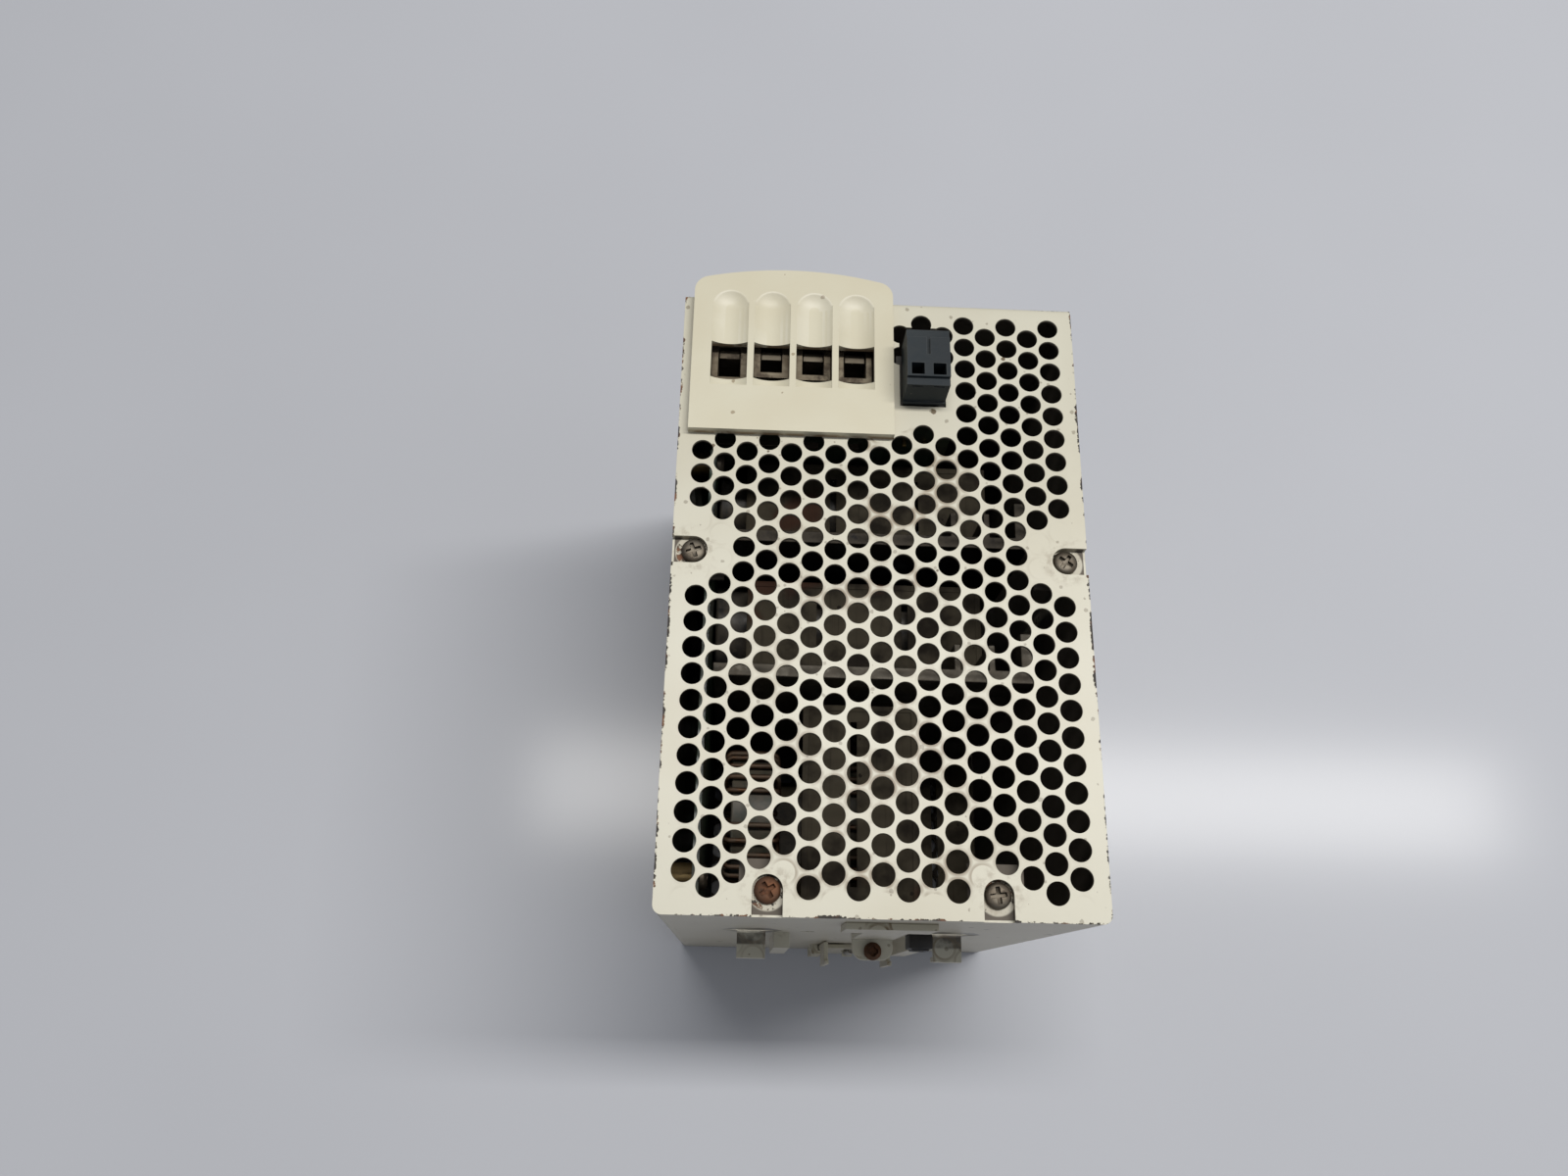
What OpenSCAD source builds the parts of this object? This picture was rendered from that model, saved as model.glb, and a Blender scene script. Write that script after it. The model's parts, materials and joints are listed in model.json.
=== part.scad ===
// DIN-rail power supply in a perforated sheet-steel case.
// +Z is up, the terminals and controls face -Y, the rail clip is on the +Y side.
// The origin is under the middle of the case, level with the lowest face.

/* [Case] */
// Width of the case
case_w = 95; // [78:1:125]
// Depth of the case, from the front panel to the back wall
case_d = 147; // [140:1:185]
// Height of the case between the outer faces of its two grilles
case_h = 138; // [125:1:170]
// Thickness of the case sheet
sheet_t = 1; // [0.8:0.1:1.4]
// Outer radius of the upright rear corners
corner_r = 2; // [1.5:0.1:4]
// Outer radius of the bend along the front of each grille
bend_r = 1.6; // [1.5:0.1:3]
// Height of the lip below that bend
lip_h = 6; // [4:0.5:8]

/* [Perforation] */
// Diameter of the vent holes
hole_d = 5; // [3:0.1:5.4]
// Distance between neighbouring vent holes
hole_pitch = 6; // [5.8:0.1:9]
// Least distance from a vent hole's centre to the edge of the sheet
hole_edge = 5.5; // [4:0.1:9]
// Plain land kept round the two side screws
side_land = 8.5; // [6:0.1:12]
// Plain land kept round the two rear screws
rear_land = 6; // [5:0.1:10]

/* [Case screws] */
// Distance of the side screws from the side edges
side_inset = 4.9; // [4:0.1:7]
// Distance of the side screws from the rear edge
side_back = 80; // [50:1:100]
// Distance of the rear screws from the rear edge
rear_inset = 5.4; // [4.5:0.1:7]
// Distance between the two rear screws
rear_spacing = 48; // [36:1:60]
// Diameter of the screw heads
head_d = 5.6; // [5:0.1:6]
// Height of the screw heads
head_h = 1.6; // [1.2:0.1:2]
// Thread diameter of the case and board screws
screw_d = 3; // [2.5:0.1:3]
// Length of the case screws under the head
screw_l = 6; // [5:0.5:8]
// Width of the sunk seats
seat_w = 6.4; // [6.3:0.1:8]
// Depth of the sunk seats
seat_depth = 1.8; // [1.6:0.1:2.5]
// Width and depth of the screw tabs of the chassis
tab_size = 12; // [10:0.5:14]

/* [Terminal covers] */
// Height that the covers stand above the sheet
cover_proud = 2.5; // [2:0.1:4]
// Wall of the covers and the fascia
cover_wall = 2.4; // [1.8:0.1:2.8]
// Plastic beyond the outer poles at each end
cover_end = 3.88; // [3:0.1:6]
// Distance of the covers from the side edge of the case
cover_side = 2.33; // [2:0.1:6]
// Depth of the covers' flat top, from the case front to their rear edge
cover_depth = 37.6; // [34:0.1:45]
// Height of the covers' front skirt below the sheet
skirt_h = 20; // [18:0.5:26]
// How far the covers' side corners stand ahead of the case
corner_stand = 3; // [3:0.1:5]
// How far the middle of the front stands ahead of the case
front_bulge = 6.3; // [5.5:0.1:9]
// Radius of the upright front corners of the covers and the fascia
cover_r = 4; // [3:0.1:5]
// Parting gap between the covers and the fascia
parting = 0.3; // [0.2:0.1:0.6]

/* [Terminals] */
// Number of poles at each end
poles = 4; // [2:1:4]
// Distance between poles
pole_pitch = 10.16; // [9.6:0.01:12.5]
// Width of the wire openings and cages
entry_w = 8.6; // [7.5:0.1:9]
// Length of the wire openings
entry_l = 9.6; // [9:0.1:10.5]
// Distance of the wire openings' front edge from the case front
entry_front = 14.2; // [14:0.1:16]
// Depth of the shallow lead-in grooves
groove_sag = 1.4; // [0.8:0.1:1.6]
// Radius of the lead-in grooves
groove_r = 7.8; // [6:0.1:10]
// Length of the grooves behind the openings
groove_tail = 2.1; // [1:0.1:3]
// Distance of the grooves' round ends from the case front
groove_nose = 0; // [-1:0.1:3]
// Inner width of the cages
cage_in = 5.2; // [4.5:0.1:5.5]
// Height of the cages
cage_h = 12; // [10:0.5:13]
// Thickness of the cages' threaded front wall
cage_front = 2.5; // [2:0.1:3]
// Thickness of the cages' rear wall
cage_rear = 1.5; // [1.2:0.1:2]
// Depth of the cages below the sheet
cage_drop = 2; // [1.9:0.1:3]
// Widest wire gap of a cage
gap_max = 5.2; // [4.5:0.1:5.5]
// Smallest wire gap of a cage
gap_min = 0.3; // [0.2:0.1:0.5]
// Wire gap of each output cage at rest
output_gaps = [5, 3.5, 3.8, 4.1]; // [0.3:0.1:5.2]
// Wire gap of each input cage at rest
input_gaps = [4.4, 4, 3.4, 4.7]; // [0.3:0.1:5.2]
// Thickness of the contact bars
bar_t = 2.3; // [1.5:0.1:2.5]
// Distance of the contact bars' rear face from the case front
bar_back = 16.2; // [16:0.1:18]
// Diameter of the terminal screws
clamp_d = 3.5; // [3:0.1:4]
// Diameter of the terminal screw heads
clamp_head_d = 6.2; // [5.5:0.1:7]
// Height of the terminal screw heads
clamp_head_h = 2.3; // [2:0.1:2.5]
// Height of the screwdriver windows in the covers
driver_h = 8; // [7:0.1:9]
// Depth of the terminal blocks below the sheet
block_depth = 17.3; // [16:0.1:18]

/* [Relay plug] */
// Distance between the plug's poles
plug_pitch = 5.08; // [5:0.01:5.2]
// Depth of the plug, front to back
plug_d = 15; // [14:0.5:17]
// Height that the plug stands above the sheet
plug_h = 10; // [8:0.5:12]
// Distance of the plug's rear face from the case front
plug_back = 28.3; // [27:0.1:28.4]
// Width of the opening that the plug passes through
plug_slot_w = 11; // [10.8:0.1:12]
// Distance of the opening's front edge from the case front
plug_slot_front = 7; // [6:0.5:9]
// Distance of the plug's middle from the side of the output cover
plug_side = 7.2; // [7:0.1:9]
// Depth that the plug reaches into its header
insert_l = 9; // [7:0.5:9.5]
// Width of the plug's square wire entries
plug_entry = 3; // [2.5:0.1:3.2]

/* [Front] */
// Width of the settings flap's window
flap_w = 28; // [24:1:34]
// Height of the settings flap's window
flap_h = 32; // [30:1:40]
// Thickness of the flap
flap_t = 1.8; // [1.4:0.1:2]
// Diameter of the flap's barrel
barrel_d = 2.4; // [2.2:0.1:2.6]
// Diameter of the flap's hinge pins
pin_d = 1.4; // [1.2:0.1:1.5]
// Diameter of the light pipes
pipe_d = 3; // [2:0.1:4]

/* [Rail clip] */
// Height of the rail that the clip takes
rail_h = 35; // [35:1:35]
// Distance from the middle of the case up to the middle of the rail
rail_rise = 0; // [-8:1:8]
// Distance from the back wall to the outer faces of the hooks
clip_reach = 6.3; // [6:0.1:8]
// Thickness of the hooks
hook_t = 1.2; // [1:0.1:1.5]
// Width of each fixed hook
hook_w = 7; // [5:0.5:12]
// Gap between the rail seats and the hooks, for the rail's flange
flange_gap = 1.4; // [1.2:0.1:1.6]
// Depth of the hooks over the rail's edge
hook_grip = 3; // [2:0.1:4]
// Distance between the two fixed hooks
hook_spacing = 48; // [40:1:56]
// Travel of the sprung latch
latch_travel = 5; // [4:0.5:6]
// Width of the latch
latch_w = 18.2; // [16:0.1:22]
// Thickness of the latch
latch_t = 1.2; // [1:0.1:1.5]
// Wire coil diameter of the latch spring
spring_d = 2.4; // [2:0.1:2.6]

/* [Electronics] */
// Thickness of the circuit boards
board_t = 1.6; // [1:0.1:2]
// Distance from the side wall to the main board
board_gap = 6.5; // [5:0.5:8]
// Distance from the case front to the front board's front face
front_board_back = 28.9; // [28.6:0.1:32]
// Distance from the case front to the signal board's front face
signal_board_back = 11.5; // [11:0.5:14]
// Thickness of the heatsink plates
sink_t = 3; // [2:0.5:4]
// Clear width of the bay between the front board and the front heatsink
front_bay = 27; // [24:1:30]
// Clear width of the bay between the two heatsinks
middle_bay = 30; // [26:1:34]
// Diameter of the mains capacitors
bulk_d = 22; // [18:1:24]
// Length of the mains capacitors
bulk_l = 50; // [35:1:55]
// Diameter of the output capacitors
output_d = 16; // [12.5:0.5:18]
// Length of the output capacitors
output_l = 31; // [20:1:40]

/* [Hidden] */
$fn = 48;
fit = 0.1;              // gap between pieces that seat in each other
run = 0.3;              // gap round pieces that move
thread_gap = 0.05;      // gap between a screw and its hole
eps = 0.01;             // makes cuts pass right through

z_bot = cover_proud;
z_top = z_bot + case_h;
z_mid = (z_bot + z_top) / 2;
front = -case_d / 2;
back = case_d / 2;
side = case_w / 2;
inner_r = max(corner_r - sheet_t, 0.2);
seat_wall = 0.8;

col_step = hole_pitch * cos(30);
row_step = hole_pitch / 2;
cols = floor((side - hole_edge) / col_step);
rows = floor((case_d - 2 * hole_edge) / row_step);

side_x = side - side_inset;
side_y = back - side_back;
rear_x = rear_spacing / 2;
rear_y = back - rear_inset;

cover_w = poles * pole_pitch + 2 * cover_end;
cover_x = side - cover_side - cover_w / 2;
cover_rear = front + cover_depth;
cut_w = poles * pole_pitch + 2.56;
cut_rear = cover_rear - 5;
sag = front_bulge - corner_stand;
arc_r = (pow(cover_w / 2, 2) + sag * sag) / (2 * sag);
arc_y = front - front_bulge + arc_r;
corner_x = cover_w / 2 - cover_r;                 // middle of a corner's rounding, from the cover's middle
corner_y = arc_y - sqrt(pow(arc_r - cover_r, 2) - corner_x * corner_x);
skirt_z = z_top - skirt_h;

bar_y = front + bar_back;                         // rear face of the contact bars
cage_l = gap_max + bar_t + 0.5;                   // inner length of a cage
chamber_front = bar_y + gap_min - cage_l - cage_front - run;
chamber_rear = bar_y + gap_max + cage_rear + run;
block_wall = 1.2;
block_front = chamber_front - block_wall;
block_w = poles * pole_pitch + 1.3;
block_top = z_top - sheet_t - 0.6;
block_floor = 2.5;
clamp_z = z_top - cage_drop - cage_h / 2;
clamp_head_y = block_front - fit - clamp_head_h;  // front face of a terminal screw
foot_z = z_top - block_depth - 0.2;               // upper face of the bars' feet
slot_w = 0.9;                                     // width of a driver slot
driver_w = (poles - 1) * pole_pitch + clamp_head_d + 2.5;

plug_x = cover_x - cover_w / 2 - plug_side;
plug_w = 2 * plug_pitch;
plug_rear = front + plug_back;
plug_front = plug_rear - plug_d;
plug_foot = z_top + run;                          // underside of the plug's housing
insert_d = plug_d - 5;
insert_y = plug_rear - 2.8 - insert_d;            // front of the plug's insert
header_w = 12.4;
header_floor = z_top - sheet_t - insert_l - 1.4;
header_bottom = header_floor - 3;
plug_screw_z = z_top + plug_h / 2;

front_board_y = front + front_board_back;
front_board_rear = front_board_y + board_t;
signal_y = front + signal_board_back;
signal_w = 38;
signal_h = 60;
post_x = 16;
post_z = 26;
post_d = 6;
clinch_d = 5;                                     // stub of a post, flush with the side wall
sink_1_y = front_board_rear + front_bay;
sink_2_y = sink_1_y + sink_t + middle_bay;
board_x = side - sheet_t - board_gap;             // rear face of the main board
board_face = board_x - board_t;
board_y0 = front_board_rear + 3.5;
board_y1 = back - sheet_t - 3;
board_z0 = z_bot + 6;
board_z1 = z_top - 6;
rear_bay_y = (sink_2_y + sink_t + back - sheet_t) / 2;

flap_z0 = z_mid - flap_h / 2 - 2;
flap_z1 = flap_z0 + flap_h;
hinge_y = front - corner_stand - 1;
hinge_z = flap_z0 + 2.6;
trimmer_x = cover_x + 6;
trimmer_z = z_mid + 3;
selector_x = cover_x - 6;
selector_z = z_mid - 5;
light_z = z_mid + 24;
light_dx = 7;

rail_z = z_mid + rail_rise;
rail_top = rail_z + rail_h / 2;
rail_bot = rail_z - rail_h / 2;
clip_y = back + clip_reach;
seat_y = clip_y - hook_t - flange_gap;            // face that the rail lies against
clip_x = -3;
latch_y = back + run;
latch_z0 = z_bot + 6;
latch_z1 = rail_bot - 12;
ear_x = latch_w / 2 - latch_t / 2;
window_z0 = rail_bot - 32;
window_z1 = window_z0 + 17;
stop_z = window_z0 + latch_travel / 2 - 1.9;
stop_t = 1.2;
claw_h = 7;
claw_z = [latch_z0 + 4, latch_z1 - 3.5 - latch_travel - claw_h];    // undersides of the guide claws

// ---- helpers ----

// Middle of each pole, counted from the side wall inwards
function pole_x(n) = cover_x + ((poles - 1) / 2 - n) * pole_pitch;

// The input end is the output end turned upside down
module at_input() {
    translate([0, 0, 2 * z_mid]) mirror([0, 0, 1]) children();
}

// A box given by its two corners
module box(a, b) {
    translate(a) cube([b[0] - a[0], b[1] - a[1], b[2] - a[2]]);
}

// A cylinder along Y, from y0 to y1
module rod_y(x, z, y0, y1, d) {
    translate([x, y0, z]) rotate([-90, 0, 0]) cylinder(d = d, h = y1 - y0);
}

// A cylinder along X, from x0 to x1
module rod_x(y, z, x0, x1, d) {
    translate([x0, y, z]) rotate([0, 90, 0]) cylinder(d = d, h = x1 - x0);
}

// Outline of the case seen from above, with its two rounded rear corners
module plan(w, y0, y1, r) {
    translate([-w / 2, y0]) square([w, y1 - y0 - r]);
    translate([-w / 2 + r, y0]) square([w - 2 * r, y1 - y0]);
    for (s = [-1, 1]) translate([s * (w / 2 - r), y1 - r]) circle(r);
}

// Puts its children at the four screws of a grille, with +Y towards the nearest edge
module to_grille_screws() {
    for (s = [-1, 1]) {
        translate([s * side_x, side_y]) rotate(s * -90) children();
        translate([s * rear_x, rear_y]) children();
    }
}

// Round-ended slot, open towards +Y
module seat_shape(w) {
    circle(d = w);
    translate([-w / 2, 0]) square([w, rear_inset + side_inset]);
}

// Cross recess for a screw head, cut down from z = 0
module cross_recess(d, depth) {
    for (a = [0, 90]) rotate(a) translate([-d / 2, -0.5, -depth]) cube([d, 1, depth + 1]);
    translate([0, 0, -depth]) cylinder(d1 = 1.2, d2 = 2.2, h = depth + eps);
}

// Pan-head screw, head upwards, with z = 0 under its head
module pan_screw(hd, hh, d, l) {
    difference() {
        union() {
            cylinder(d = hd, h = hh * 0.55);
            translate([0, 0, hh * 0.55]) cylinder(d1 = hd, d2 = hd - 1.6, h = hh * 0.45);
            translate([0, 0, -l]) cylinder(d = d, h = l + eps);
        }
        translate([0, 0, hh]) cross_recess(hd * 0.6, hh * 0.6);
    }
}

// Outline of the bulged plastic front, inset by its wall, in front of y1
module front_plan(inset, y1) {
    lean = atan2(corner_x, arc_y - corner_y);     // where the bulge runs into a corner's rounding
    far = 3 * cover_r;
    difference() {
        intersection() {
            translate([cover_x, arc_y]) circle(arc_r - inset, $fn = 180);
            translate([cover_x - cover_w / 2 + inset, front - front_bulge - 1])
                square([cover_w - 2 * inset, y1 - front + front_bulge + 1]);
        }
        for (s = [-1, 1]) translate([cover_x + s * corner_x, corner_y])
            polygon([[0, 0], [s * far * sin(lean), -far * cos(lean)], [s * far, -far], [s * far, 0]]);
    }
    intersection() {
        for (s = [-1, 1]) translate([cover_x + s * corner_x, corner_y]) circle(cover_r - inset);
        translate([cover_x - cover_w / 2, front - front_bulge - 1]) square([cover_w, y1 - front + front_bulge + 1]);
    }
}

// ---- case ----

function near_screw(x, y) =
    norm([abs(x) - side_x, y - side_y]) < side_land || norm([abs(x) - rear_x, y - rear_y]) < rear_land;
function under_cover(x, y) =
    x > cover_x - cover_w / 2 - 1 && y < cover_rear + 1;
function near_plug(x, y) =
    (abs(x - plug_x) < 6.5 && y < plug_rear + 6.5 && y > plug_rear - 10)
    || (abs(x - plug_x) < 3 && y < plug_rear + 6.5 && y > front + plug_slot_front + 1);

// Hexagonal field of vent holes
module vents(with_plug) {
    for (i = [-cols:cols], j = [0:rows]) {
        x = i * col_step;
        y = (j - rows / 2) * row_step;
        if ((i + j + cols) % 2 == 0 && !near_screw(x, y) && !under_cover(x, y)
            && !(with_plug && near_plug(x, y)))
            translate([x, y]) circle(d = hole_d);
    }
}

module grille(with_plug) {
    difference() {
        union() {
            translate([0, 0, z_top - sheet_t]) linear_extrude(sheet_t) difference() {
                plan(case_w, front + bend_r, back, corner_r);
                vents(with_plug);
                to_grille_screws() seat_shape(seat_w);
                if (with_plug)
                    translate([plug_x - plug_slot_w / 2, front + plug_slot_front])
                        square([plug_slot_w, plug_rear + run - front - plug_slot_front]);
            }
            // bend and lip along the front
            translate([-side, 0, 0]) rotate([90, 0, 90]) linear_extrude(case_w) {
                intersection() {
                    translate([front + bend_r, z_top - bend_r]) difference() {
                        circle(bend_r);
                        circle(max(bend_r - sheet_t, 0.1));
                    }
                    translate([front, z_top - bend_r]) square(bend_r);
                }
                translate([front, z_top - lip_h]) square([sheet_t, lip_h - bend_r]);
            }
            // sunk seats for the screws
            translate([0, 0, z_top - sheet_t - seat_depth]) intersection() {
                union() {
                    linear_extrude(sheet_t) to_grille_screws() seat_shape(seat_w + 2 * seat_wall);
                    linear_extrude(sheet_t + seat_depth) to_grille_screws() difference() {
                        seat_shape(seat_w + 2 * seat_wall);
                        seat_shape(seat_w);
                    }
                }
                linear_extrude(2 * seat_depth + sheet_t) plan(case_w, front + bend_r, back, corner_r);
            }
        }
        // opening for the terminal cover, through the bend too
        box([cover_x - cut_w / 2, front - 1, z_top - lip_h - 1],
            [cover_x + cut_w / 2, cut_rear, z_top + 1]);
        for (s = [-1, 1]) {
            translate([s * side_x, side_y, z_top - 5]) cylinder(d = screw_d + 2 * run, h = 6);
            translate([s * rear_x, rear_y, z_top - 5]) cylinder(d = screw_d + 2 * run, h = 6);
        }
    }
}

module top_grille() { color("ivory") grille(true); }
module bottom_grille() { color("ivory") at_input() grille(false); }

module grille_screws() {
    color("dimgray") for (flip = [0, 1]) translate([0, 0, flip * 2 * z_mid]) mirror([0, 0, flip])
        translate([0, 0, z_top - seat_depth + eps]) to_grille_screws()
            pan_screw(head_d, head_h, screw_d, screw_l);
}

// Profile of a fixed hook, from the back wall, in Y and Z
module hook_profile() {
    polygon([[back - sheet_t / 2, rail_top + run], [seat_y + flange_gap, rail_top + run],
        [seat_y + flange_gap, rail_top - hook_grip], [clip_y, rail_top - hook_grip],
        [clip_y, rail_top + run + hook_t], [back - sheet_t / 2, rail_top + run + hook_t]]);
}

module chassis() {
    tab_z = z_top - sheet_t - seat_depth - sheet_t;
    hook_x = [clip_x + 5.5 - hook_spacing / 2, clip_x + 5.5 + hook_spacing / 2];
    color("ivory") difference() {
        union() {
            translate([0, 0, z_bot + sheet_t]) linear_extrude(case_h - 2 * sheet_t) difference() {
                plan(case_w, front + sheet_t, back, corner_r);
                plan(case_w - 2 * sheet_t, front, back - sheet_t, inner_r);
            }
            // tabs for the grille screws
            for (flip = [0, 1]) translate([0, 0, flip * 2 * z_mid]) mirror([0, 0, flip])
                for (s = [-1, 1]) {
                    box([s > 0 ? side - tab_size : -side + sheet_t / 2, side_y - tab_size / 2, tab_z],
                        [s > 0 ? side - sheet_t / 2 : -side + tab_size, side_y + tab_size / 2, tab_z + sheet_t]);
                    box([s * rear_x - tab_size / 2, back - tab_size, tab_z],
                        [s * rear_x + tab_size / 2, back - sheet_t / 2, tab_z + sheet_t]);
                }
            // hooks over the rail's upper edge
            for (x = hook_x) translate([x - hook_w / 2, 0, 0]) rotate([90, 0, 90])
                linear_extrude(hook_w) hook_profile();
            // upright ribs that the rail lies against
            for (x = hook_x) box([x + (x > clip_x ? -9.5 : 5.5), back - sheet_t / 2, rail_bot + 1],
                [x + (x > clip_x ? -5.5 : 9.5), seat_y, rail_top - 1]);
            // claws that guide the latch
            for (s = [-1, 1], z = claw_z) {
                box([clip_x + s * (latch_w / 2 + 1.2) - 0.9, back - sheet_t / 2, z],
                    [clip_x + s * (latch_w / 2 + 1.2) + 0.9, latch_y + latch_t + run + 1, z + claw_h]);
                box([clip_x + s * (latch_w / 2) - 1.2, latch_y + latch_t + run, z],
                    [clip_x + s * (latch_w / 2) + 1.2, latch_y + latch_t + run + 1, z + claw_h]);
            }
            // stop that the latch spring stands on
            box([clip_x - 1.5, back - sheet_t / 2, stop_z], [clip_x + 1.5, latch_y + latch_t + 1.4, stop_z + stop_t]);
        }
        // notches round the sunk seats, and holes in the tabs
        for (flip = [0, 1]) translate([0, 0, flip * 2 * z_mid]) mirror([0, 0, flip]) {
            translate([0, 0, tab_z + sheet_t]) linear_extrude(seat_depth + 2)
                to_grille_screws() seat_shape(seat_w + 2 * seat_wall + 2 * fit);
            translate([0, 0, tab_z - 1]) linear_extrude(sheet_t + 2)
                to_grille_screws() circle(d = screw_d + 2 * thread_gap);
        }
        // holes that the hooks are pressed out of, pointed at both sides
        for (x = hook_x) translate([x, back + 1, rail_top + run + hook_t]) rotate([90, 0, 0])
            linear_extrude(sheet_t + 2) polygon([[-hook_w / 2, 0], [hook_w / 2, 0], [hook_w / 2 + 4, 2.5],
                [hook_w / 2, 5], [-hook_w / 2, 5], [-hook_w / 2 - 4, 2.5]]);
        rod_y(clip_x + 16, rail_top + 4, back - sheet_t - 1, back + 1, 3.6);
        // holes that the board posts are clinched into
        for (y = [board_y0 + 5, board_y1 - 5], z = [board_z0 + 8, board_z1 - 8])
            rod_x(y, z, side - sheet_t - 1, side + 1, clinch_d + 2 * thread_gap);
    }
}

module front_panel() {
    z0 = z_bot + lip_h + 0.2;
    z1 = z_top - lip_h - 0.2;
    color("ivory") difference() {
        box([-side, front, z0], [side, front + sheet_t, z1]);
        for (z = [z0 - 1, z_top - skirt_h])
            box([cover_x - cut_w / 2, front - 1, z], [cover_x + cut_w / 2, front + 2, z + skirt_h - lip_h + 0.8]);
        box([cover_x - flap_w / 2 - 1, front - 1, flap_z0 - 1], [cover_x + flap_w / 2 + 1, front + 2, flap_z1 + 1]);
        for (s = [-1, 1]) rod_y(cover_x + s * light_dx, light_z, front - 1, front + 2, pipe_d + 1);
    }
}

// ---- plastic front ----

module terminal_cover() {
    difference() {
        union() {
            translate([0, 0, z_top]) linear_extrude(cover_proud) front_plan(0, cover_rear);
            // hollow skirt in front of the case, closed at its lower end
            translate([0, 0, skirt_z]) linear_extrude(skirt_h + eps) difference() {
                front_plan(0, front);
                front_plan(cover_wall, front + 1);
            }
            translate([0, 0, skirt_z]) linear_extrude(2) front_plan(0, front);
            // snap legs behind the terminal block
            for (s = [-1, 1]) {
                box([cover_x + s * 12 - 3, cut_rear - 1.6, z_top - sheet_t - 2.6], [cover_x + s * 12 + 3, cut_rear - fit, z_top + 1]);
                box([cover_x + s * 12 - 3, cut_rear - 1.6, z_top - sheet_t - 2.6], [cover_x + s * 12 + 3, cut_rear + 0.8, z_top - sheet_t - fit]);
            }
        }
        for (n = [0:poles - 1]) {
            box([pole_x(n) - entry_w / 2, front + entry_front, z_top - 1],
                [pole_x(n) + entry_w / 2, front + entry_front + entry_l, z_top + cover_proud + 1]);
            // lead-in groove with a round front end
            intersection() {
                translate([pole_x(n), front + groove_nose + entry_w / 2, z_top + cover_proud + groove_r - groove_sag]) {
                    rotate([-90, 0, 0]) cylinder(r = groove_r, h = cover_depth, $fn = 96);
                    sphere(groove_r, $fn = 96);
                }
                box([pole_x(n) - entry_w / 2, front - 1, z_top],
                    [pole_x(n) + entry_w / 2, front + entry_front + entry_l + groove_tail, z_top + cover_proud + 3]);
            }
        }
        // window in front of the terminal screws
        box([cover_x - driver_w / 2, front - front_bulge - 1, clamp_z - driver_h / 2],
            [cover_x + driver_w / 2, front + 1, clamp_z + driver_h / 2]);
    }
}

module output_terminal_cover() { color("cornsilk") terminal_cover(); }
module input_terminal_cover() { color("cornsilk") at_input() terminal_cover(); }

module front_fascia() {
    z0 = 2 * z_mid - skirt_z + parting;
    z1 = skirt_z - parting;
    color("cornsilk") difference() {
        union() {
            translate([0, 0, z0]) linear_extrude(z1 - z0) difference() {
                front_plan(0, front);
                front_plan(cover_wall, front + 1);
            }
            for (z = [z0, z1 - 2]) translate([0, 0, z]) linear_extrude(2) front_plan(0, front);
            // cheeks that hold the flap's pins
            intersection() {
                for (s = [-1, 1])
                    box([cover_x + s * (flap_w / 2 + 1.5) - 1.5, front - front_bulge, hinge_z - 3],
                        [cover_x + s * (flap_w / 2 + 1.5) + 1.5, front - 0.6, hinge_z + 3]);
                translate([0, 0, z0]) linear_extrude(z1 - z0) front_plan(0, front);
            }
        }
        box([cover_x - flap_w / 2, front - front_bulge - 1, flap_z0], [cover_x + flap_w / 2, front + 1, flap_z1]);
        rod_x(hinge_y, hinge_z, cover_x - flap_w / 2 - 2, cover_x + flap_w / 2 + 2, pin_d + 2 * thread_gap);
        for (s = [-1, 1])
            rod_y(cover_x + s * light_dx, light_z, front - front_bulge - 1, front + 1, pipe_d + 2 * fit);
    }
}

module settings_flap() {
    x0 = cover_x - flap_w / 2 + run;
    x1 = cover_x + flap_w / 2 - run;
    color("cornsilk") union() {
        intersection() {
            translate([0, 0, hinge_z]) linear_extrude(flap_z1 - run - hinge_z) difference() {
                front_plan(0, front);
                front_plan(flap_t, front + 1);
            }
            box([x0, front - front_bulge - 1, hinge_z], [x1, front, flap_z1]);
        }
        rod_x(hinge_y, hinge_z, x0, x1, barrel_d);
        rod_x(hinge_y, hinge_z, x0 - 1.8, x1 + 1.8, pin_d);
        // web that joins the barrel to the flap, and the finger lip
        box([x0, hinge_y - 1.2, hinge_z], [x1, hinge_y + 0.6, hinge_z + 1.4]);
        box([cover_x - 4, hinge_y - 1.5, flap_z1 - 3], [cover_x + 4, hinge_y + 1.2, flap_z1 - 1.6]);
    }
}

module front_label() {
    x0 = -side + 4;
    x1 = cover_x - cover_w / 2 - 3;
    color("gainsboro") box([x0, front - 0.2, z_mid - 42], [x1, front, z_mid + 42]);
}

module rating_label() {
    color("gainsboro") box([-side - 0.2, -32, z_mid - 38], [-side, 38, z_mid + 38]);
}

// ---- terminals ----

module terminal_block() {
    difference() {
        box([cover_x - block_w / 2, block_front, z_top - block_depth],
            [cover_x + block_w / 2, front_board_y - fit, block_top]);
        for (n = [0:poles - 1]) {
            x = pole_x(n);
            box([x - entry_w / 2 - 0.15, chamber_front, z_top - block_depth + block_floor],
                [x + entry_w / 2 + 0.15, chamber_rear, z_top]);
            box([x - cage_in / 2 - fit, bar_y - bar_t - fit, z_top - block_depth - 1],
                [x + cage_in / 2 + fit, bar_y + fit, z_top - block_depth + block_floor + 1]);
            rod_y(x, clamp_z, block_front - 1, chamber_front + 1, clamp_d + 2 * fit);
        }
    }
}

module output_terminal_block() { color("#202224") terminal_block(); }
module input_terminal_block() { color("#202224") at_input() terminal_block(); }

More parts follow.
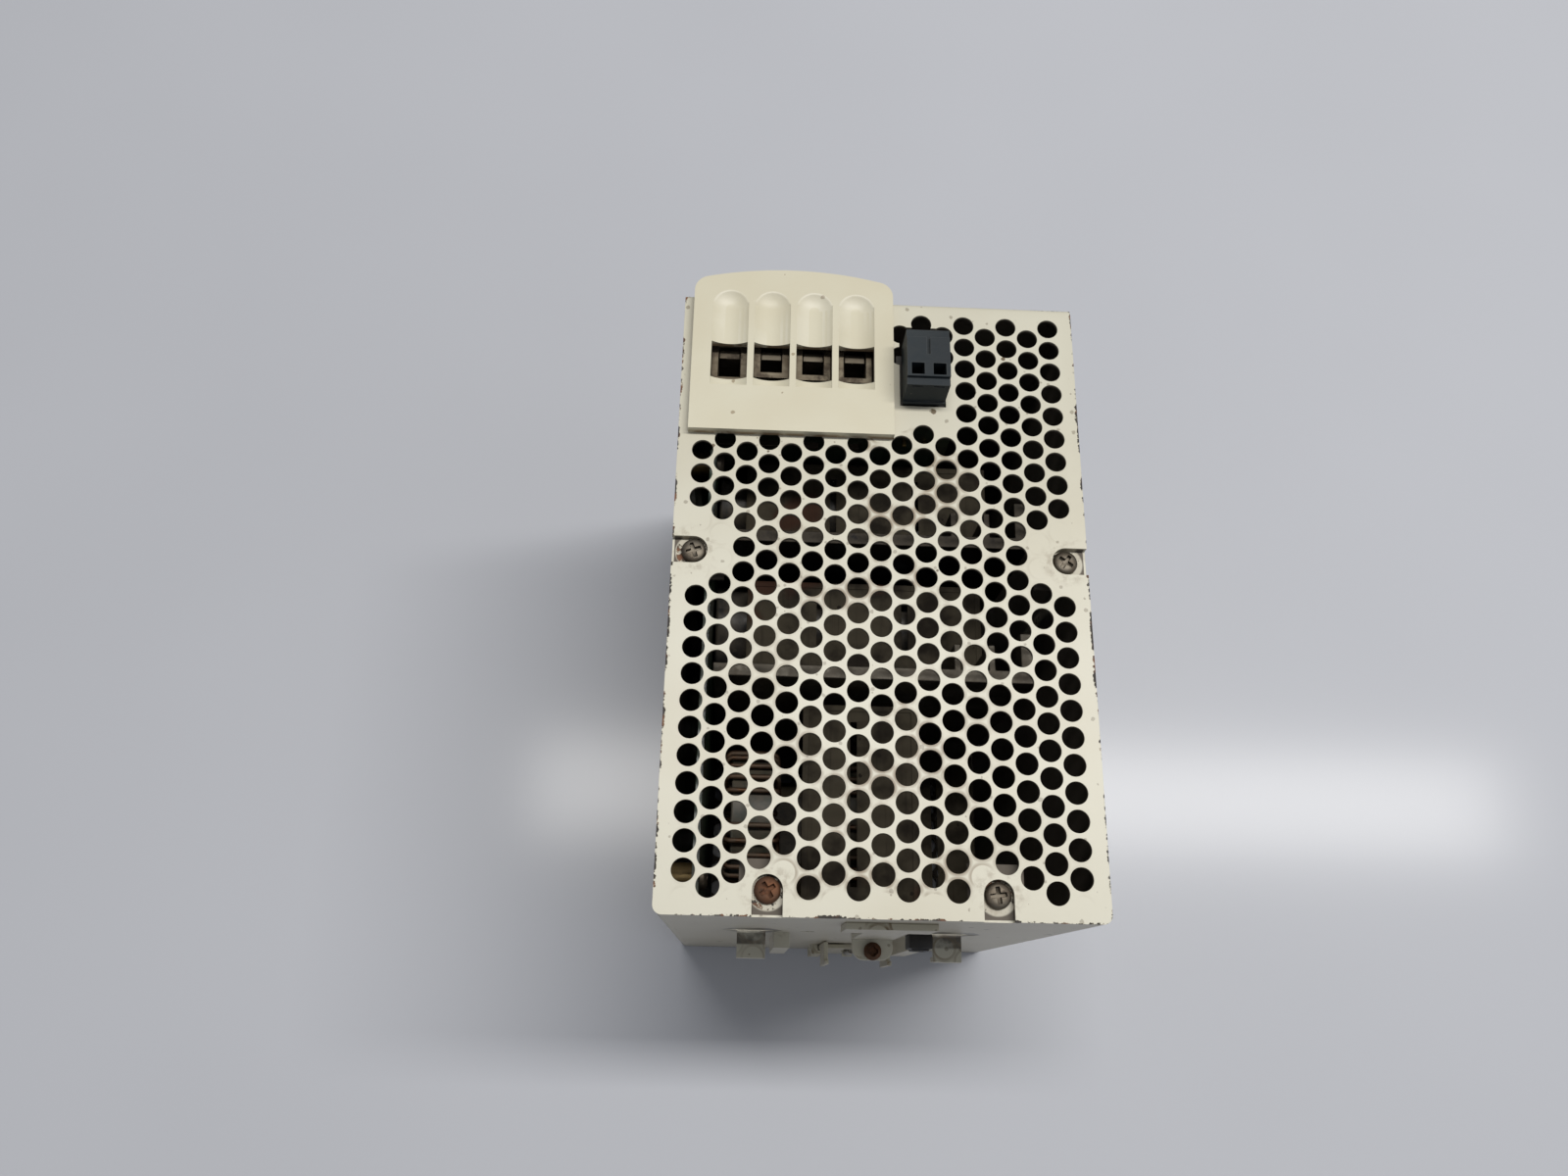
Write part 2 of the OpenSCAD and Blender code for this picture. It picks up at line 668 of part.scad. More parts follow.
module contact_bars() {
    for (n = [0:poles - 1]) {
        x0 = pole_x(n) - cage_in / 2 + fit;
        x1 = pole_x(n) + cage_in / 2 - fit;
        box([x0, bar_y - bar_t, foot_z - 1.5], [x1, bar_y, z_top - cage_drop - 0.4]);
        box([x0, bar_y - bar_t, foot_z - 1.5], [x1, front_board_rear + 1.2, foot_z]);
    }
}

module output_contact_bars() { color("silver") contact_bars(); }
module input_contact_bars() { color("silver") at_input() contact_bars(); }

// Rising cage of one pole, with the wire gap that it has at rest
module cage(n, gap) {
    x = pole_x(n);
    y1 = bar_y + gap;
    z0 = z_top - cage_drop - cage_h;
    difference() {
        box([x - entry_w / 2, y1 - cage_l - cage_front, z0], [x + entry_w / 2, y1 + cage_rear, z0 + cage_h]);
        box([x - cage_in / 2, y1 - cage_l, z0 - 1], [x + cage_in / 2, y1, z0 + cage_h + 1]);
        rod_y(x, clamp_z, y1 - cage_l - cage_front - 1, y1 - cage_l + 1, clamp_d + 2 * thread_gap);
    }
}

module output_cage(n) { color("silver") cage(n, output_gaps[n]); }
module input_cage(n) { color("silver") at_input() cage(n, input_gaps[n]); }

// Terminal screw of one pole, its head towards the front
module clamp_screw_at(n) {
    x = pole_x(n);
    y0 = clamp_head_y;
    difference() {
        union() {
            rod_y(x, clamp_z, y0, y0 + clamp_head_h, clamp_head_d);
            rod_y(x, clamp_z, y0 + clamp_head_h - eps, bar_y - bar_t - fit, clamp_d);
        }
        for (a = [0, 90]) translate([x, y0, clamp_z]) rotate([0, a, 0])
            translate([-clamp_head_d * 0.36, -1, -slot_w / 2]) cube([clamp_head_d * 0.72, 2.2, slot_w]);
    }
}

module output_screw(n) { color("gray") clamp_screw_at(n); }
module input_screw(n) { color("gray") at_input() clamp_screw_at(n); }

// ---- signal relay plug ----

module relay_header() {
    color("#16181a") difference() {
        box([plug_x - header_w / 2, insert_y - 1.4, header_bottom],
            [plug_x + header_w / 2, front_board_y - fit, z_top - sheet_t - 0.6]);
        box([plug_x - plug_w / 2 + 0.4, insert_y - run, header_floor],
            [plug_x + plug_w / 2 - 0.4, insert_y + insert_d + run, z_top]);
        for (s = [-1, 1]) translate([plug_x + s * plug_pitch / 2, insert_y + insert_d / 2, header_bottom - 1])
            translate([-0.6, -0.6, 0]) cube([1.2, 1.2, 6]);
    }
}

module relay_pins() {
    color("gold") for (s = [-1, 1]) {
        x = plug_x + s * plug_pitch / 2;
        y = insert_y + insert_d / 2;
        box([x - 0.5, y - 0.5, header_bottom - 1.2], [x + 0.5, y + 0.5, header_floor + 6]);
        box([x - 0.5, y - 0.5, header_bottom - 1.2], [x + 0.5, front_board_rear + 1.2, header_bottom - 0.2]);
    }
}

module relay_plug() {
    z1 = z_top + plug_h;
    color("#2b3136") difference() {
        union() {
            // housing, with a step along its top rear edge and a foot flange
            box([plug_x - plug_w / 2, plug_front, plug_foot], [plug_x + plug_w / 2, plug_rear - 2.3, z1]);
            box([plug_x - plug_w / 2, plug_front, plug_foot], [plug_x + plug_w / 2, plug_rear - 0.4, z1 - 0.9]);
            box([plug_x - plug_w / 2, plug_front, plug_foot], [plug_x + plug_w / 2, plug_rear, plug_foot + 1.1]);
            box([plug_x - plug_w / 2 + 0.7, insert_y, header_floor + run],
                [plug_x + plug_w / 2 - 0.7, insert_y + insert_d, plug_foot + eps]);
        }
        // lower ledge along the top front edge, and the groove between the poles
        box([plug_x - plug_w, plug_front - 1, z1 - 0.8], [plug_x + plug_w, plug_front + 2.3, z1 + 1]);
        box([plug_x - 0.4, plug_front, z1 - 0.8], [plug_x + 0.4, plug_front + 6.8, z1 + 1]);
        for (s = [-1, 1]) {
            x = plug_x + s * plug_pitch / 2;
            // wire entry, small slot in the rear face, socket and screw bore
            translate([x, plug_rear - 2.8 - plug_entry / 2, z1 - 5.5])
                translate([-plug_entry / 2, -plug_entry / 2, 0]) cube([plug_entry, plug_entry, 7]);
            box([x - 1.3, plug_rear - 1.2, z1 - 1.9], [x + 1.3, plug_rear + 1, z1 - 1.5]);
            translate([x - 0.7, insert_y + insert_d / 2 - 0.7, header_floor]) cube([1.4, 1.4, 7.5]);
            rod_y(x, plug_screw_z, plug_front - 1, plug_front + 3, 4.2);
            rod_y(x, plug_screw_z, plug_front, plug_front + 7.4, 2.5 + 2 * fit);
        }
    }
}

module plug_screw(s) {
    x = plug_x + s * plug_pitch / 2;
    y0 = plug_front + 1;
    color("silver") difference() {
        union() {
            rod_y(x, plug_screw_z, y0, y0 + 1.8, 3.8);
            rod_y(x, plug_screw_z, y0 + 1.7, y0 + 6, 2.5);
        }
        box([x - 2, y0 - 1, plug_screw_z - 0.35], [x + 2, y0 + 0.9, plug_screw_z + 0.35]);
    }
}

// ---- boards and controls ----

module main_board() {
    color("darkgreen") difference() {
        box([board_face, board_y0, board_z0], [board_x, board_y1, board_z1]);
        for (y = [board_y0 + 5, board_y1 - 5], z = [board_z0 + 8, board_z1 - 8])
            rod_x(y, z, board_face - 1, board_x + 1, screw_d + 0.4);
    }
}

module front_board() {
    x0 = plug_x - header_w / 2 - 2.5;
    color("darkgreen") difference() {
        box([x0, front_board_y, z_bot + 5.5], [side - sheet_t - 4, front_board_rear, z_top - 5.5]);
        for (flip = [0, 1]) translate([0, 0, flip * 2 * z_mid]) mirror([0, 0, flip])
            for (n = [0:poles - 1])
                box([pole_x(n) - cage_in / 2, front_board_y - 1, foot_z - 1.6],
                    [pole_x(n) + cage_in / 2, front_board_rear + 1, foot_z + 0.1]);
        for (s = [-1, 1])
            box([plug_x + s * plug_pitch / 2 - 0.6, front_board_y - 1, header_bottom - 1.3],
                [plug_x + s * plug_pitch / 2 + 0.6, front_board_rear + 1, header_bottom - 0.1]);
        for (s = [-1, 1], t = [-1, 1])
            rod_y(cover_x + s * post_x, z_mid + t * post_z, front_board_y - 1, front_board_rear + 1, screw_d + 0.4);
    }
}

module signal_board() {
    color("darkgreen") difference() {
        box([cover_x - signal_w / 2, signal_y, z_mid - signal_h / 2],
            [cover_x + signal_w / 2, signal_y + board_t, z_mid + signal_h / 2]);
        for (s = [-1, 1], t = [-1, 1])
            rod_y(cover_x + s * post_x, z_mid + t * post_z, signal_y - 1, signal_y + board_t + 1, screw_d + 0.4);
    }
}

module board_posts() {
    color("goldenrod") {
        for (y = [board_y0 + 5, board_y1 - 5], z = [board_z0 + 8, board_z1 - 8]) difference() {
            union() {
                rod_x(y, z, board_x, side - sheet_t, post_d);
                rod_x(y, z, side - sheet_t - eps, side, clinch_d);
            }
            rod_x(y, z, board_x - 1, side - sheet_t, screw_d + 2 * thread_gap);
        }
        for (s = [-1, 1], t = [-1, 1]) difference() {
            rod_y(cover_x + s * post_x, z_mid + t * post_z, signal_y + board_t, front_board_y, post_d);
            rod_y(cover_x + s * post_x, z_mid + t * post_z, signal_y, front_board_rear, screw_d + 2 * thread_gap);
        }
    }
}

module board_screws() {
    color("silver") {
        for (y = [board_y0 + 5, board_y1 - 5], z = [board_z0 + 8, board_z1 - 8])
            translate([board_face, y, z]) rotate([0, -90, 0]) pan_screw(head_d, head_h, screw_d, 5);
        for (s = [-1, 1], t = [-1, 1])
            translate([cover_x + s * post_x, signal_y, z_mid + t * post_z]) rotate([90, 0, 0])
                pan_screw(head_d, head_h, screw_d, 6);
    }
}

module insulation_sheet() {
    x1 = side - sheet_t - 1;
    color("lightyellow") difference() {
        box([x1 - 0.4, board_y0, board_z0], [x1, board_y1, board_z1]);
        for (y = [board_y0 + 5, board_y1 - 5], z = [board_z0 + 8, board_z1 - 8])
            rod_x(y, z, x1 - 1, x1 + 1, post_d + 2 * fit);
    }
}

module trimmer_body() {
    color("royalblue") difference() {
        box([trimmer_x - 5, signal_y - 5, trimmer_z - 5], [trimmer_x + 5, signal_y, trimmer_z + 5]);
        rod_y(trimmer_x, trimmer_z, signal_y - 6, signal_y - 2, 6 + 2 * thread_gap);
    }
}

module voltage_trimmer() {
    color("white") difference() {
        rod_y(trimmer_x, trimmer_z, signal_y - 6.4, signal_y - 2 - fit, 6);
        box([trimmer_x - 2.4, signal_y - 7, trimmer_z - 0.4], [trimmer_x + 2.4, signal_y - 5.2, trimmer_z + 0.4]);
    }
}

module selector_body() {
    color("dimgray") difference() {
        box([selector_x - 5.5, signal_y - 4.5, selector_z - 3], [selector_x + 5.5, signal_y, selector_z + 3]);
        box([selector_x - 4.3, signal_y - 5, selector_z - 1.3], [selector_x + 4.3, signal_y - 1.5, selector_z + 1.3]);
    }
}

// Lever of the slide switch, at the end of its slot nearer the trimmer's far side
module mode_selector() {
    x = selector_x - 2;
    color("white") box([x - 1.9, signal_y - 6.5, selector_z - 1.2], [x + 1.9, signal_y - 1.5 - fit, selector_z + 1.2]);
}

module light_pipe(s) {
    intersection() {
        rod_y(cover_x + s * light_dx, light_z, front - front_bulge, signal_y - fit, pipe_d);
        translate([0, 0, light_z - pipe_d]) linear_extrude(2 * pipe_d) front_plan(0, signal_y);
    }
}

module ready_light_pipe() { color("limegreen") light_pipe(1); }
module overload_light_pipe() { color("red") light_pipe(-1); }

// ---- power parts ----

sink_x0 = -side + sheet_t + 10;
sink_x1 = board_face - 1;
sink_z0 = z_bot + 10;
sink_z1 = z_top - 10;

module heatsinks() {
    color("lightslategray") for (y = [sink_1_y, sink_2_y]) translate([0, 0, sink_z0])
        linear_extrude(sink_z1 - sink_z0) {
            translate([sink_x0, y]) square([sink_x1 - sink_x0, sink_t]);
            translate([sink_x0, y - 9]) square([sink_t, 9 + sink_t]);
            translate([sink_x0 + 9, y - 6]) square([1.5, 6 + sink_t]);
            translate([sink_x0 + 17, y - 6]) square([1.5, 6 + sink_t]);
        }
}

module power_transistors() {
    color("#1c1c1c") for (y = [sink_1_y, sink_2_y], t = [-1.5, -0.5, 0.5, 1.5])
        box([board_face - 24, y - 5, z_mid + t * 20 - 8], [board_face - 3, y, z_mid + t * 20 + 8]);
}

trafo_z = z_mid - 22;
trafo_x = board_face - 22;
leg = 11;
window = 11;

module transformer_core() {
    color("#3a3a3c") difference() {
        box([trafo_x - 18, rear_bay_y - 9, trafo_z - 21.5], [trafo_x + 18, rear_bay_y + 9, trafo_z + 21.5]);
        for (s = [-1, 1]) translate([trafo_x - 13, rear_bay_y - 10, trafo_z + s * (leg + window) / 2 - window / 2])
            cube([26, 20, window]);
    }
}

module transformer_winding() {
    color("goldenrod") difference() {
        rod_x(rear_bay_y, trafo_z, trafo_x - 12.8, trafo_x + 12.8, leg + 2 * window - 0.6);
        box([trafo_x - 14, rear_bay_y - 9 - fit, trafo_z - leg / 2 - fit],
            [trafo_x + 14, rear_bay_y + 9 + fit, trafo_z + leg / 2 + fit]);
    }
}

// Places a ring choke lying on the main board, its axis along X
module to_chokes() {
    translate([board_face - 11, rear_bay_y, z_mid + 21]) rotate([0, 90, 0]) children();
    translate([board_face - 36, rear_bay_y, z_mid + 21]) rotate([0, 90, 0]) children();
}

module choke_cores() {
    color("darkseagreen") to_chokes() rotate_extrude() translate([8.5, -5]) square([6, 10]);
}

module choke_windings() {
    color("chocolate") to_chokes() for (a = [10, 190]) rotate(a) rotate_extrude(angle = 160) difference() {
        translate([6.5, -7]) square([10, 14]);
        translate([8.5 - fit, -5 - fit]) square([6 + 2 * fit, 10 + 2 * fit]);
    }
}

module bulk_capacitors() {
    y = sink_1_y + sink_t + middle_bay / 2 - 3;
    color("darkslateblue") for (t = [-1, 0, 1])
        rod_x(y, z_mid + t * (bulk_d + 4), board_face - bulk_l, board_face - 0.5, bulk_d);
}

module output_capacitors() {
    y = front_board_rear + front_bay / 2 - 2;
    color("#20303c") for (t = [-1.5, -0.5, 0.5, 1.5])
        rod_x(y, z_mid + t * (output_d + 6), board_face - output_l, board_face - 0.5, output_d);
}

// ---- rail clip ----

bracket_t = 1.5;
bracket_z = rail_top + run + 1;         // underside of the bracket's shelf

module rail_bracket() {
    color("ivory") difference() {
        union() {
            box([clip_x - 10, back, z_top - 22], [clip_x + 10, back + bracket_t, z_top - 10]);
            box([clip_x - 5, back, bracket_z], [clip_x + 5, back + bracket_t, z_top - 21]);
            translate([0, 0, bracket_z]) linear_extrude(bracket_t) {
                translate([clip_x - 5, back]) square([10, clip_reach - 3]);
                translate([clip_x - 2, back]) square([4, clip_reach]);
                for (s = [-1, 1]) translate([clip_x + s * 2, clip_y - 3]) circle(3);
            }
        }
        translate([clip_x, seat_y + flange_gap / 2 - 0.2, bracket_z - 1]) cylinder(d = screw_d + 2 * thread_gap, h = 4);
    }
}

module clamp_screw() {
    color("saddlebrown") translate([clip_x, seat_y + flange_gap / 2 - 0.2, bracket_z + bracket_t])
        pan_screw(4.2, 1.8, screw_d, bracket_t + 1);
}

module din_latch() {
    ear_z = rail_bot - run;
    color("ivory") difference() {
        union() {
            box([clip_x - latch_w / 2, latch_y, latch_z0 + 8], [clip_x + latch_w / 2, latch_y + latch_t, latch_z1]);
            box([clip_x - 6, latch_y, latch_z0], [clip_x + 6, latch_y + latch_t, latch_z0 + 9]);
            for (s = [-1, 1]) {
                // ear with the jaw that grips the rail's lower edge
                box([clip_x + s * ear_x - latch_t / 2, latch_y, latch_z1 - 3],
                    [clip_x + s * ear_x + latch_t / 2, clip_y, ear_z]);
                box([clip_x + s * ear_x - latch_t / 2, clip_y - hook_t, ear_z - 1],
                    [clip_x + s * ear_x + latch_t / 2, clip_y, ear_z + hook_grip]);
            }
        }
        box([clip_x - 2, latch_y - 1, window_z0], [clip_x + 2, latch_y + latch_t + 1, window_z1]);
        box([clip_x - 3, latch_y - 1, latch_z0 + 2], [clip_x + 3, latch_y + latch_t + 1, latch_z0 + 5]);
    }
}

module latch_spring() {
    z0 = stop_z + stop_t;
    color("silver") translate([clip_x, latch_y + spring_d / 2, z0]) difference() {
        cylinder(d = spring_d, h = window_z1 - z0);
        translate([0, 0, -1]) cylinder(d = spring_d - 0.8, h = window_z1 - z0 + 2);
    }
}

chassis();
top_grille();
bottom_grille();
front_panel();
grille_screws();
front_fascia();
settings_flap();
output_terminal_cover();
input_terminal_cover();
front_label();
rating_label();
output_terminal_block();
input_terminal_block();
output_contact_bars();
input_contact_bars();
output_cage(0);  // output_cage_1
output_cage(1);  // output_cage_2
output_cage(2);  // output_cage_3
output_cage(3);  // output_cage_4
output_screw(0);  // output_screw_1
output_screw(1);  // output_screw_2
output_screw(2);  // output_screw_3
output_screw(3);  // output_screw_4
input_cage(0);  // input_cage_1
input_cage(1);  // input_cage_2
input_cage(2);  // input_cage_3
input_cage(3);  // input_cage_4
input_screw(0);  // input_screw_1
input_screw(1);  // input_screw_2
input_screw(2);  // input_screw_3
input_screw(3);  // input_screw_4
relay_header();
relay_pins();
relay_plug();
plug_screw(1);  // plug_screw_1
plug_screw(-1);  // plug_screw_2
main_board();
front_board();
signal_board();
board_posts();
board_screws();
insulation_sheet();
voltage_trimmer();
trimmer_body();
mode_selector();
selector_body();
ready_light_pipe();
overload_light_pipe();
heatsinks();
power_transistors();
transformer_core();
transformer_winding();
choke_cores();
choke_windings();
bulk_capacitors();
output_capacitors();
rail_bracket();
clamp_screw();
din_latch();
latch_spring();
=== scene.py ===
import json
import math
import bpy
from mathutils import Matrix, Vector


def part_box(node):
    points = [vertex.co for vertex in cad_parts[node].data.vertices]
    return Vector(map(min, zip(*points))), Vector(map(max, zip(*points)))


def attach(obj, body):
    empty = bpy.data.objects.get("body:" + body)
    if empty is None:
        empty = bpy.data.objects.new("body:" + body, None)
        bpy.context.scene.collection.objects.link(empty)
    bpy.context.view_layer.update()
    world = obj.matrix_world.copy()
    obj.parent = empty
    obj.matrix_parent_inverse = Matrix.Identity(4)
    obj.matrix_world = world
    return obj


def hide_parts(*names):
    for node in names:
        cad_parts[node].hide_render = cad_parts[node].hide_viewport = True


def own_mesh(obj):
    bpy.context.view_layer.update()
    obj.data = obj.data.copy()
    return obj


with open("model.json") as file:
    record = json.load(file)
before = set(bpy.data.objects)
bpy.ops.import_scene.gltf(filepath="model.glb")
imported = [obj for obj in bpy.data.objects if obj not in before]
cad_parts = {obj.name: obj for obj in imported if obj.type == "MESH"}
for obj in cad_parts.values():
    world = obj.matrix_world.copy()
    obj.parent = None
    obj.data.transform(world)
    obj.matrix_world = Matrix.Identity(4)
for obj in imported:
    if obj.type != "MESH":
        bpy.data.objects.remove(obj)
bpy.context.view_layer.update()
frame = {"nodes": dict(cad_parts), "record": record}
mm = 0.001
scene = bpy.context.scene
nodes = frame["nodes"]
bodyOf = {name: body for body, names in frame["record"]["behaviour"]["bodies"].items() for name in names}
slotOf = {row["node"]: row["material_slot"] for row in frame["record"]["subparts"]}
caseLow = Vector(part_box("bottom_grille")[0])  # the case's own box, without covers and clip
caseHigh = Vector(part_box("top_grille")[1])
scene.view_settings.view_transform = "Standard"
print("frame loaded:", len(nodes), "nodes")

cameraValues = {"place": (0.03008, 0.09038, 0.38912), "turn": (19.486, -2.285, -178.874),
                "lens": 26.99, "sensor": 36}


def makeCamera(values):
    camera = bpy.data.objects.new("camera", bpy.data.cameras.new("camera"))
    camera.location = values["place"]
    camera.rotation_euler = [math.radians(a) for a in values["turn"]]
    camera.data.lens = values["lens"]
    camera.data.sensor_width = values["sensor"]
    camera.data.clip_start = 0.01
    scene.collection.objects.link(camera)
    scene.camera = camera


floorValues = {"size": 4, "thick": 0.02, "flat": 3}  # m, and mm from the case's front to the cover's flat


def makeFloor(values):
    # the unit leans on its input cover's front edge and its rear edge
    coverLow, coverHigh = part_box("input_terminal_cover")
    edgeFront = Vector((0, caseLow.y - values["flat"] * mm, coverLow.z))
    edgeBack = Vector((0, caseHigh.y, caseLow.z))
    lean = math.atan2(edgeBack.z - edgeFront.z, edgeBack.y - edgeFront.y)
    bpy.ops.object.select_all(action="DESELECT")
    bpy.ops.mesh.primitive_cube_add(size=1)
    floor = bpy.context.active_object
    floor.name = "floor"
    floor.data.transform(Matrix.Diagonal((values["size"], values["size"], values["thick"], 1)))
    floor.data.transform(Matrix.Translation((0, 0, -values["thick"] / 2)))
    floor.data.transform(Matrix.Translation(edgeFront) @ Matrix.Rotation(lean, 4, "X"))
    return floor


lightValues = {  # a long ceiling tube makes the sheen on the floor, and a weak panel opens the shadows
    "tube": {"place": (-0.55, -0.39, 2.0), "size": (2.0, 0.2), "power": 40, "tint": (1, 0.985, 0.955)},
    "fill": {"place": (-0.9, 0.5, 0.9), "size": (1.0, 1.0), "power": 1.5, "tint": (0.95, 0.97, 1),
             "aim": (0, 0, 0.08)},
}
worldValues = {"tint": (0.86, 0.90, 0.98), "strength": 0.24}


def makeLights(values, sky):
    for name, v in values.items():
        lamp = bpy.data.objects.new(name + "_light", bpy.data.lights.new(name + "_light", "AREA"))
        lamp.data.shape = "RECTANGLE"
        lamp.data.size, lamp.data.size_y = v["size"]
        lamp.data.energy = v["power"]
        lamp.data.color = v["tint"]
        lamp.location = v["place"]
        if "aim" in v:
            lamp.rotation_euler = (Vector(v["aim"]) - Vector(v["place"])).to_track_quat("-Z", "Y").to_euler()
        scene.collection.objects.link(lamp)
    world = bpy.data.worlds.new("studio")
    world.use_nodes = True
    background = world.node_tree.nodes["Background"]
    background.inputs["Color"].default_value = (*sky["tint"], 1)
    background.inputs["Strength"].default_value = sky["strength"]
    scene.world = world


def addNode(tree, kind, **settings):
    made = tree.nodes.new(kind)
    for key, value in settings.items():
        setattr(made, key, value)
    return made


def feed(tree, socket, value):
    if isinstance(value, bpy.types.NodeSocket):
        tree.links.new(value, socket)
    elif isinstance(value, (tuple, list)) and len(value) == 3 and socket.type == "RGBA":
        socket.default_value = (*value, 1)
    else:
        socket.default_value = value


def calc(tree, operation, a, b=0.0, clamp=False):
    made = addNode(tree, "ShaderNodeMath", operation=operation, use_clamp=clamp)
    feed(tree, made.inputs[0], a)
    feed(tree, made.inputs[1], b)
    return made.outputs[0]


def times(tree, *values):  # all of them multiplied
    made = values[0]
    for value in values[1:]:
        made = calc(tree, "MULTIPLY", made, value)
    return made


def invert(tree, value):
    return calc(tree, "SUBTRACT", 1.0, value, True)


def step(tree, value, low, high):  # 0 below low, 1 above high
    made = addNode(tree, "ShaderNodeMapRange", interpolation_type="SMOOTHSTEP")
    for i, v in enumerate((value, low, high, 0.0, 1.0)):
        feed(tree, made.inputs[i], v)
    return made.outputs[0]


def band(tree, value, span):  # the same, with its two ends in mm
    return step(tree, value, span[0] * mm, span[1] * mm)


def tint(tree, factor, a, b, way="MIX"):
    made = addNode(tree, "ShaderNodeMix", data_type="RGBA", blend_type=way)
    feed(tree, made.inputs["Factor"], factor)
    feed(tree, made.inputs[6], a)
    feed(tree, made.inputs[7], b)
    return made.outputs[2]


def noise(tree, vector, scale, detail=4.0, rough=0.55):
    made = addNode(tree, "ShaderNodeTexNoise")
    feed(tree, made.inputs["Vector"], vector)
    feed(tree, made.inputs["Scale"], scale)
    made.inputs["Detail"].default_value = detail
    made.inputs["Roughness"].default_value = rough
    return made.outputs["Fac"]


def facingUp(tree):  # 1 on faces that look up, -1 on those that look down
    split = addNode(tree, "ShaderNodeSeparateXYZ")
    feed(tree, split.inputs[0], addNode(tree, "ShaderNodeNewGeometry").outputs["Normal"])
    return split.outputs["Z"]


def newGroup(name, inputs, outputs):
    group = bpy.data.node_groups.new(name, "ShaderNodeTree")
    kinds = {"float": "NodeSocketFloat", "vector": "NodeSocketVector", "colour": "NodeSocketColor"}
    for label, kind, value in inputs:
        socket = group.interface.new_socket(label, in_out="INPUT", socket_type=kinds[kind])
        if value is not None:
            socket.default_value = value
    for label, kind in outputs:
        group.interface.new_socket(label, in_out="OUTPUT", socket_type=kinds[kind])
    return group, addNode(group, "NodeGroupInput").outputs, addNode(group, "NodeGroupOutput").inputs


def use(tree, group, out=0, **values):
    made = addNode(tree, "ShaderNodeGroup", node_tree=group)
    for key, value in values.items():
        feed(tree, made.inputs[key], value)
    return made.outputs[out]


def makeSpecks():  # scattered dots of dirt, each cell with its own size
    group, given, out = newGroup("specks", [("Vector", "vector", None), ("Scale", "float", 300.0),
                                 ("Cover", "float", 0.1), ("Size", "float", 0.25)], [("Mask", "float")])
    wobble = noise(group, given["Vector"], times(group, given["Scale"], 2.3), 2)
    cells = addNode(group, "ShaderNodeTexVoronoi")
    feed(group, cells.inputs["Vector"], given["Vector"])
    feed(group, cells.inputs["Scale"], given["Scale"])
    split = addNode(group, "ShaderNodeSeparateColor")
    feed(group, split.inputs[0], cells.outputs["Color"])
    chosen = calc(group, "LESS_THAN", split.outputs[0], given["Cover"])
    reach = times(group, calc(group, "ADD", times(group, split.outputs[1], 0.8), 0.2), given["Size"])
    uneven = times(group, calc(group, "SUBTRACT", wobble, 0.5), 0.35)
    ragged = calc(group, "ADD", cells.outputs["Distance"], uneven)
    inside = invert(group, step(group, ragged, times(group, reach, 0.75), reach))
    feed(group, out["Mask"], times(group, chosen, inside))
    return group


def makeGrime():  # broad uneven film, broken up by finer noise
    group, given, out = newGroup("grime", [("Vector", "vector", None), ("Scale", "float", 30.0),
                                 ("Amount", "float", 0.5)], [("Mask", "float")])
    broad = noise(group, given["Vector"], given["Scale"], 3)
    fine = noise(group, given["Vector"], times(group, given["Scale"], 9.0), 5, 0.7)
    level = calc(group, "ADD", times(group, broad, 0.65), times(group, fine, 0.35))
    start = calc(group, "SUBTRACT", 0.72, times(group, given["Amount"], 0.4))
    feed(group, out["Mask"], step(group, level, start, calc(group, "ADD", start, 0.18)))
    return group


def makeCaseDepth():  # how deep a point lies under the case's outer faces, and how far from its outer edges
    group, given, out = newGroup("caseDepth", [("Vector", "vector", None)],
                                 [("Depth", "float"), ("Edge", "float")])
    split = addNode(group, "ShaderNodeSeparateXYZ")
    feed(group, split.inputs[0], given["Vector"])
    middle, half = (caseLow + caseHigh) / 2, (caseHigh - caseLow) / 2
    away = []
    for i in range(3):
        offset = calc(group, "ABSOLUTE", calc(group, "SUBTRACT", split.outputs[i], middle[i]))
        away.append(calc(group, "SUBTRACT", half[i], offset))
    low, high = calc(group, "MINIMUM", away[0], away[1]), calc(group, "MAXIMUM", away[0], away[1])
    feed(group, out["Depth"], calc(group, "MINIMUM", low, away[2]))
    feed(group, out["Edge"], calc(group, "MAXIMUM", low, calc(group, "MINIMUM", high, away[2])))
    return group


def makeHoleRing():  # distance from the middle of the nearest vent hole, in the plane of the sheet
    group, given, out = newGroup("holeRing", [("Vector", "vector", None), ("Pitch", "float", 6 * mm),
                                 ("Row", "float", 1.5 * mm)], [("Away", "float")])
    split = addNode(group, "ShaderNodeSeparateXYZ")
    feed(group, split.inputs[0], given["Vector"])
    column = times(group, given["Pitch"], math.cos(math.radians(30)))
    found = []
    for shiftX, side in ((0, -1), (1, 1)):
        x = calc(group, "SUBTRACT", split.outputs["X"], times(group, column, shiftX))
        y = calc(group, "SUBTRACT", split.outputs["Y"], times(group, given["Row"], side))
        dx = calc(group, "PINGPONG", x, column)
        dy = calc(group, "PINGPONG", y, times(group, given["Pitch"], 0.5))
        found.append(calc(group, "SQRT", calc(group, "ADD", times(group, dx, dx), times(group, dy, dy))))
    feed(group, out["Away"], calc(group, "MINIMUM", found[0], found[1]))
    return group


def makeSettled():  # dust that has settled on upward faces
    group, given, out = newGroup("settled", [("Vector", "vector", None), ("Scale", "float", 260.0)],
                                 [("Mask", "float")])
    uneven = step(group, noise(group, given["Vector"], given["Scale"], 5, 0.7), 0.25, 0.60)
    feed(group, out["Mask"], times(group, step(group, facingUp(group), 0.25, 0.85), uneven))
    return group


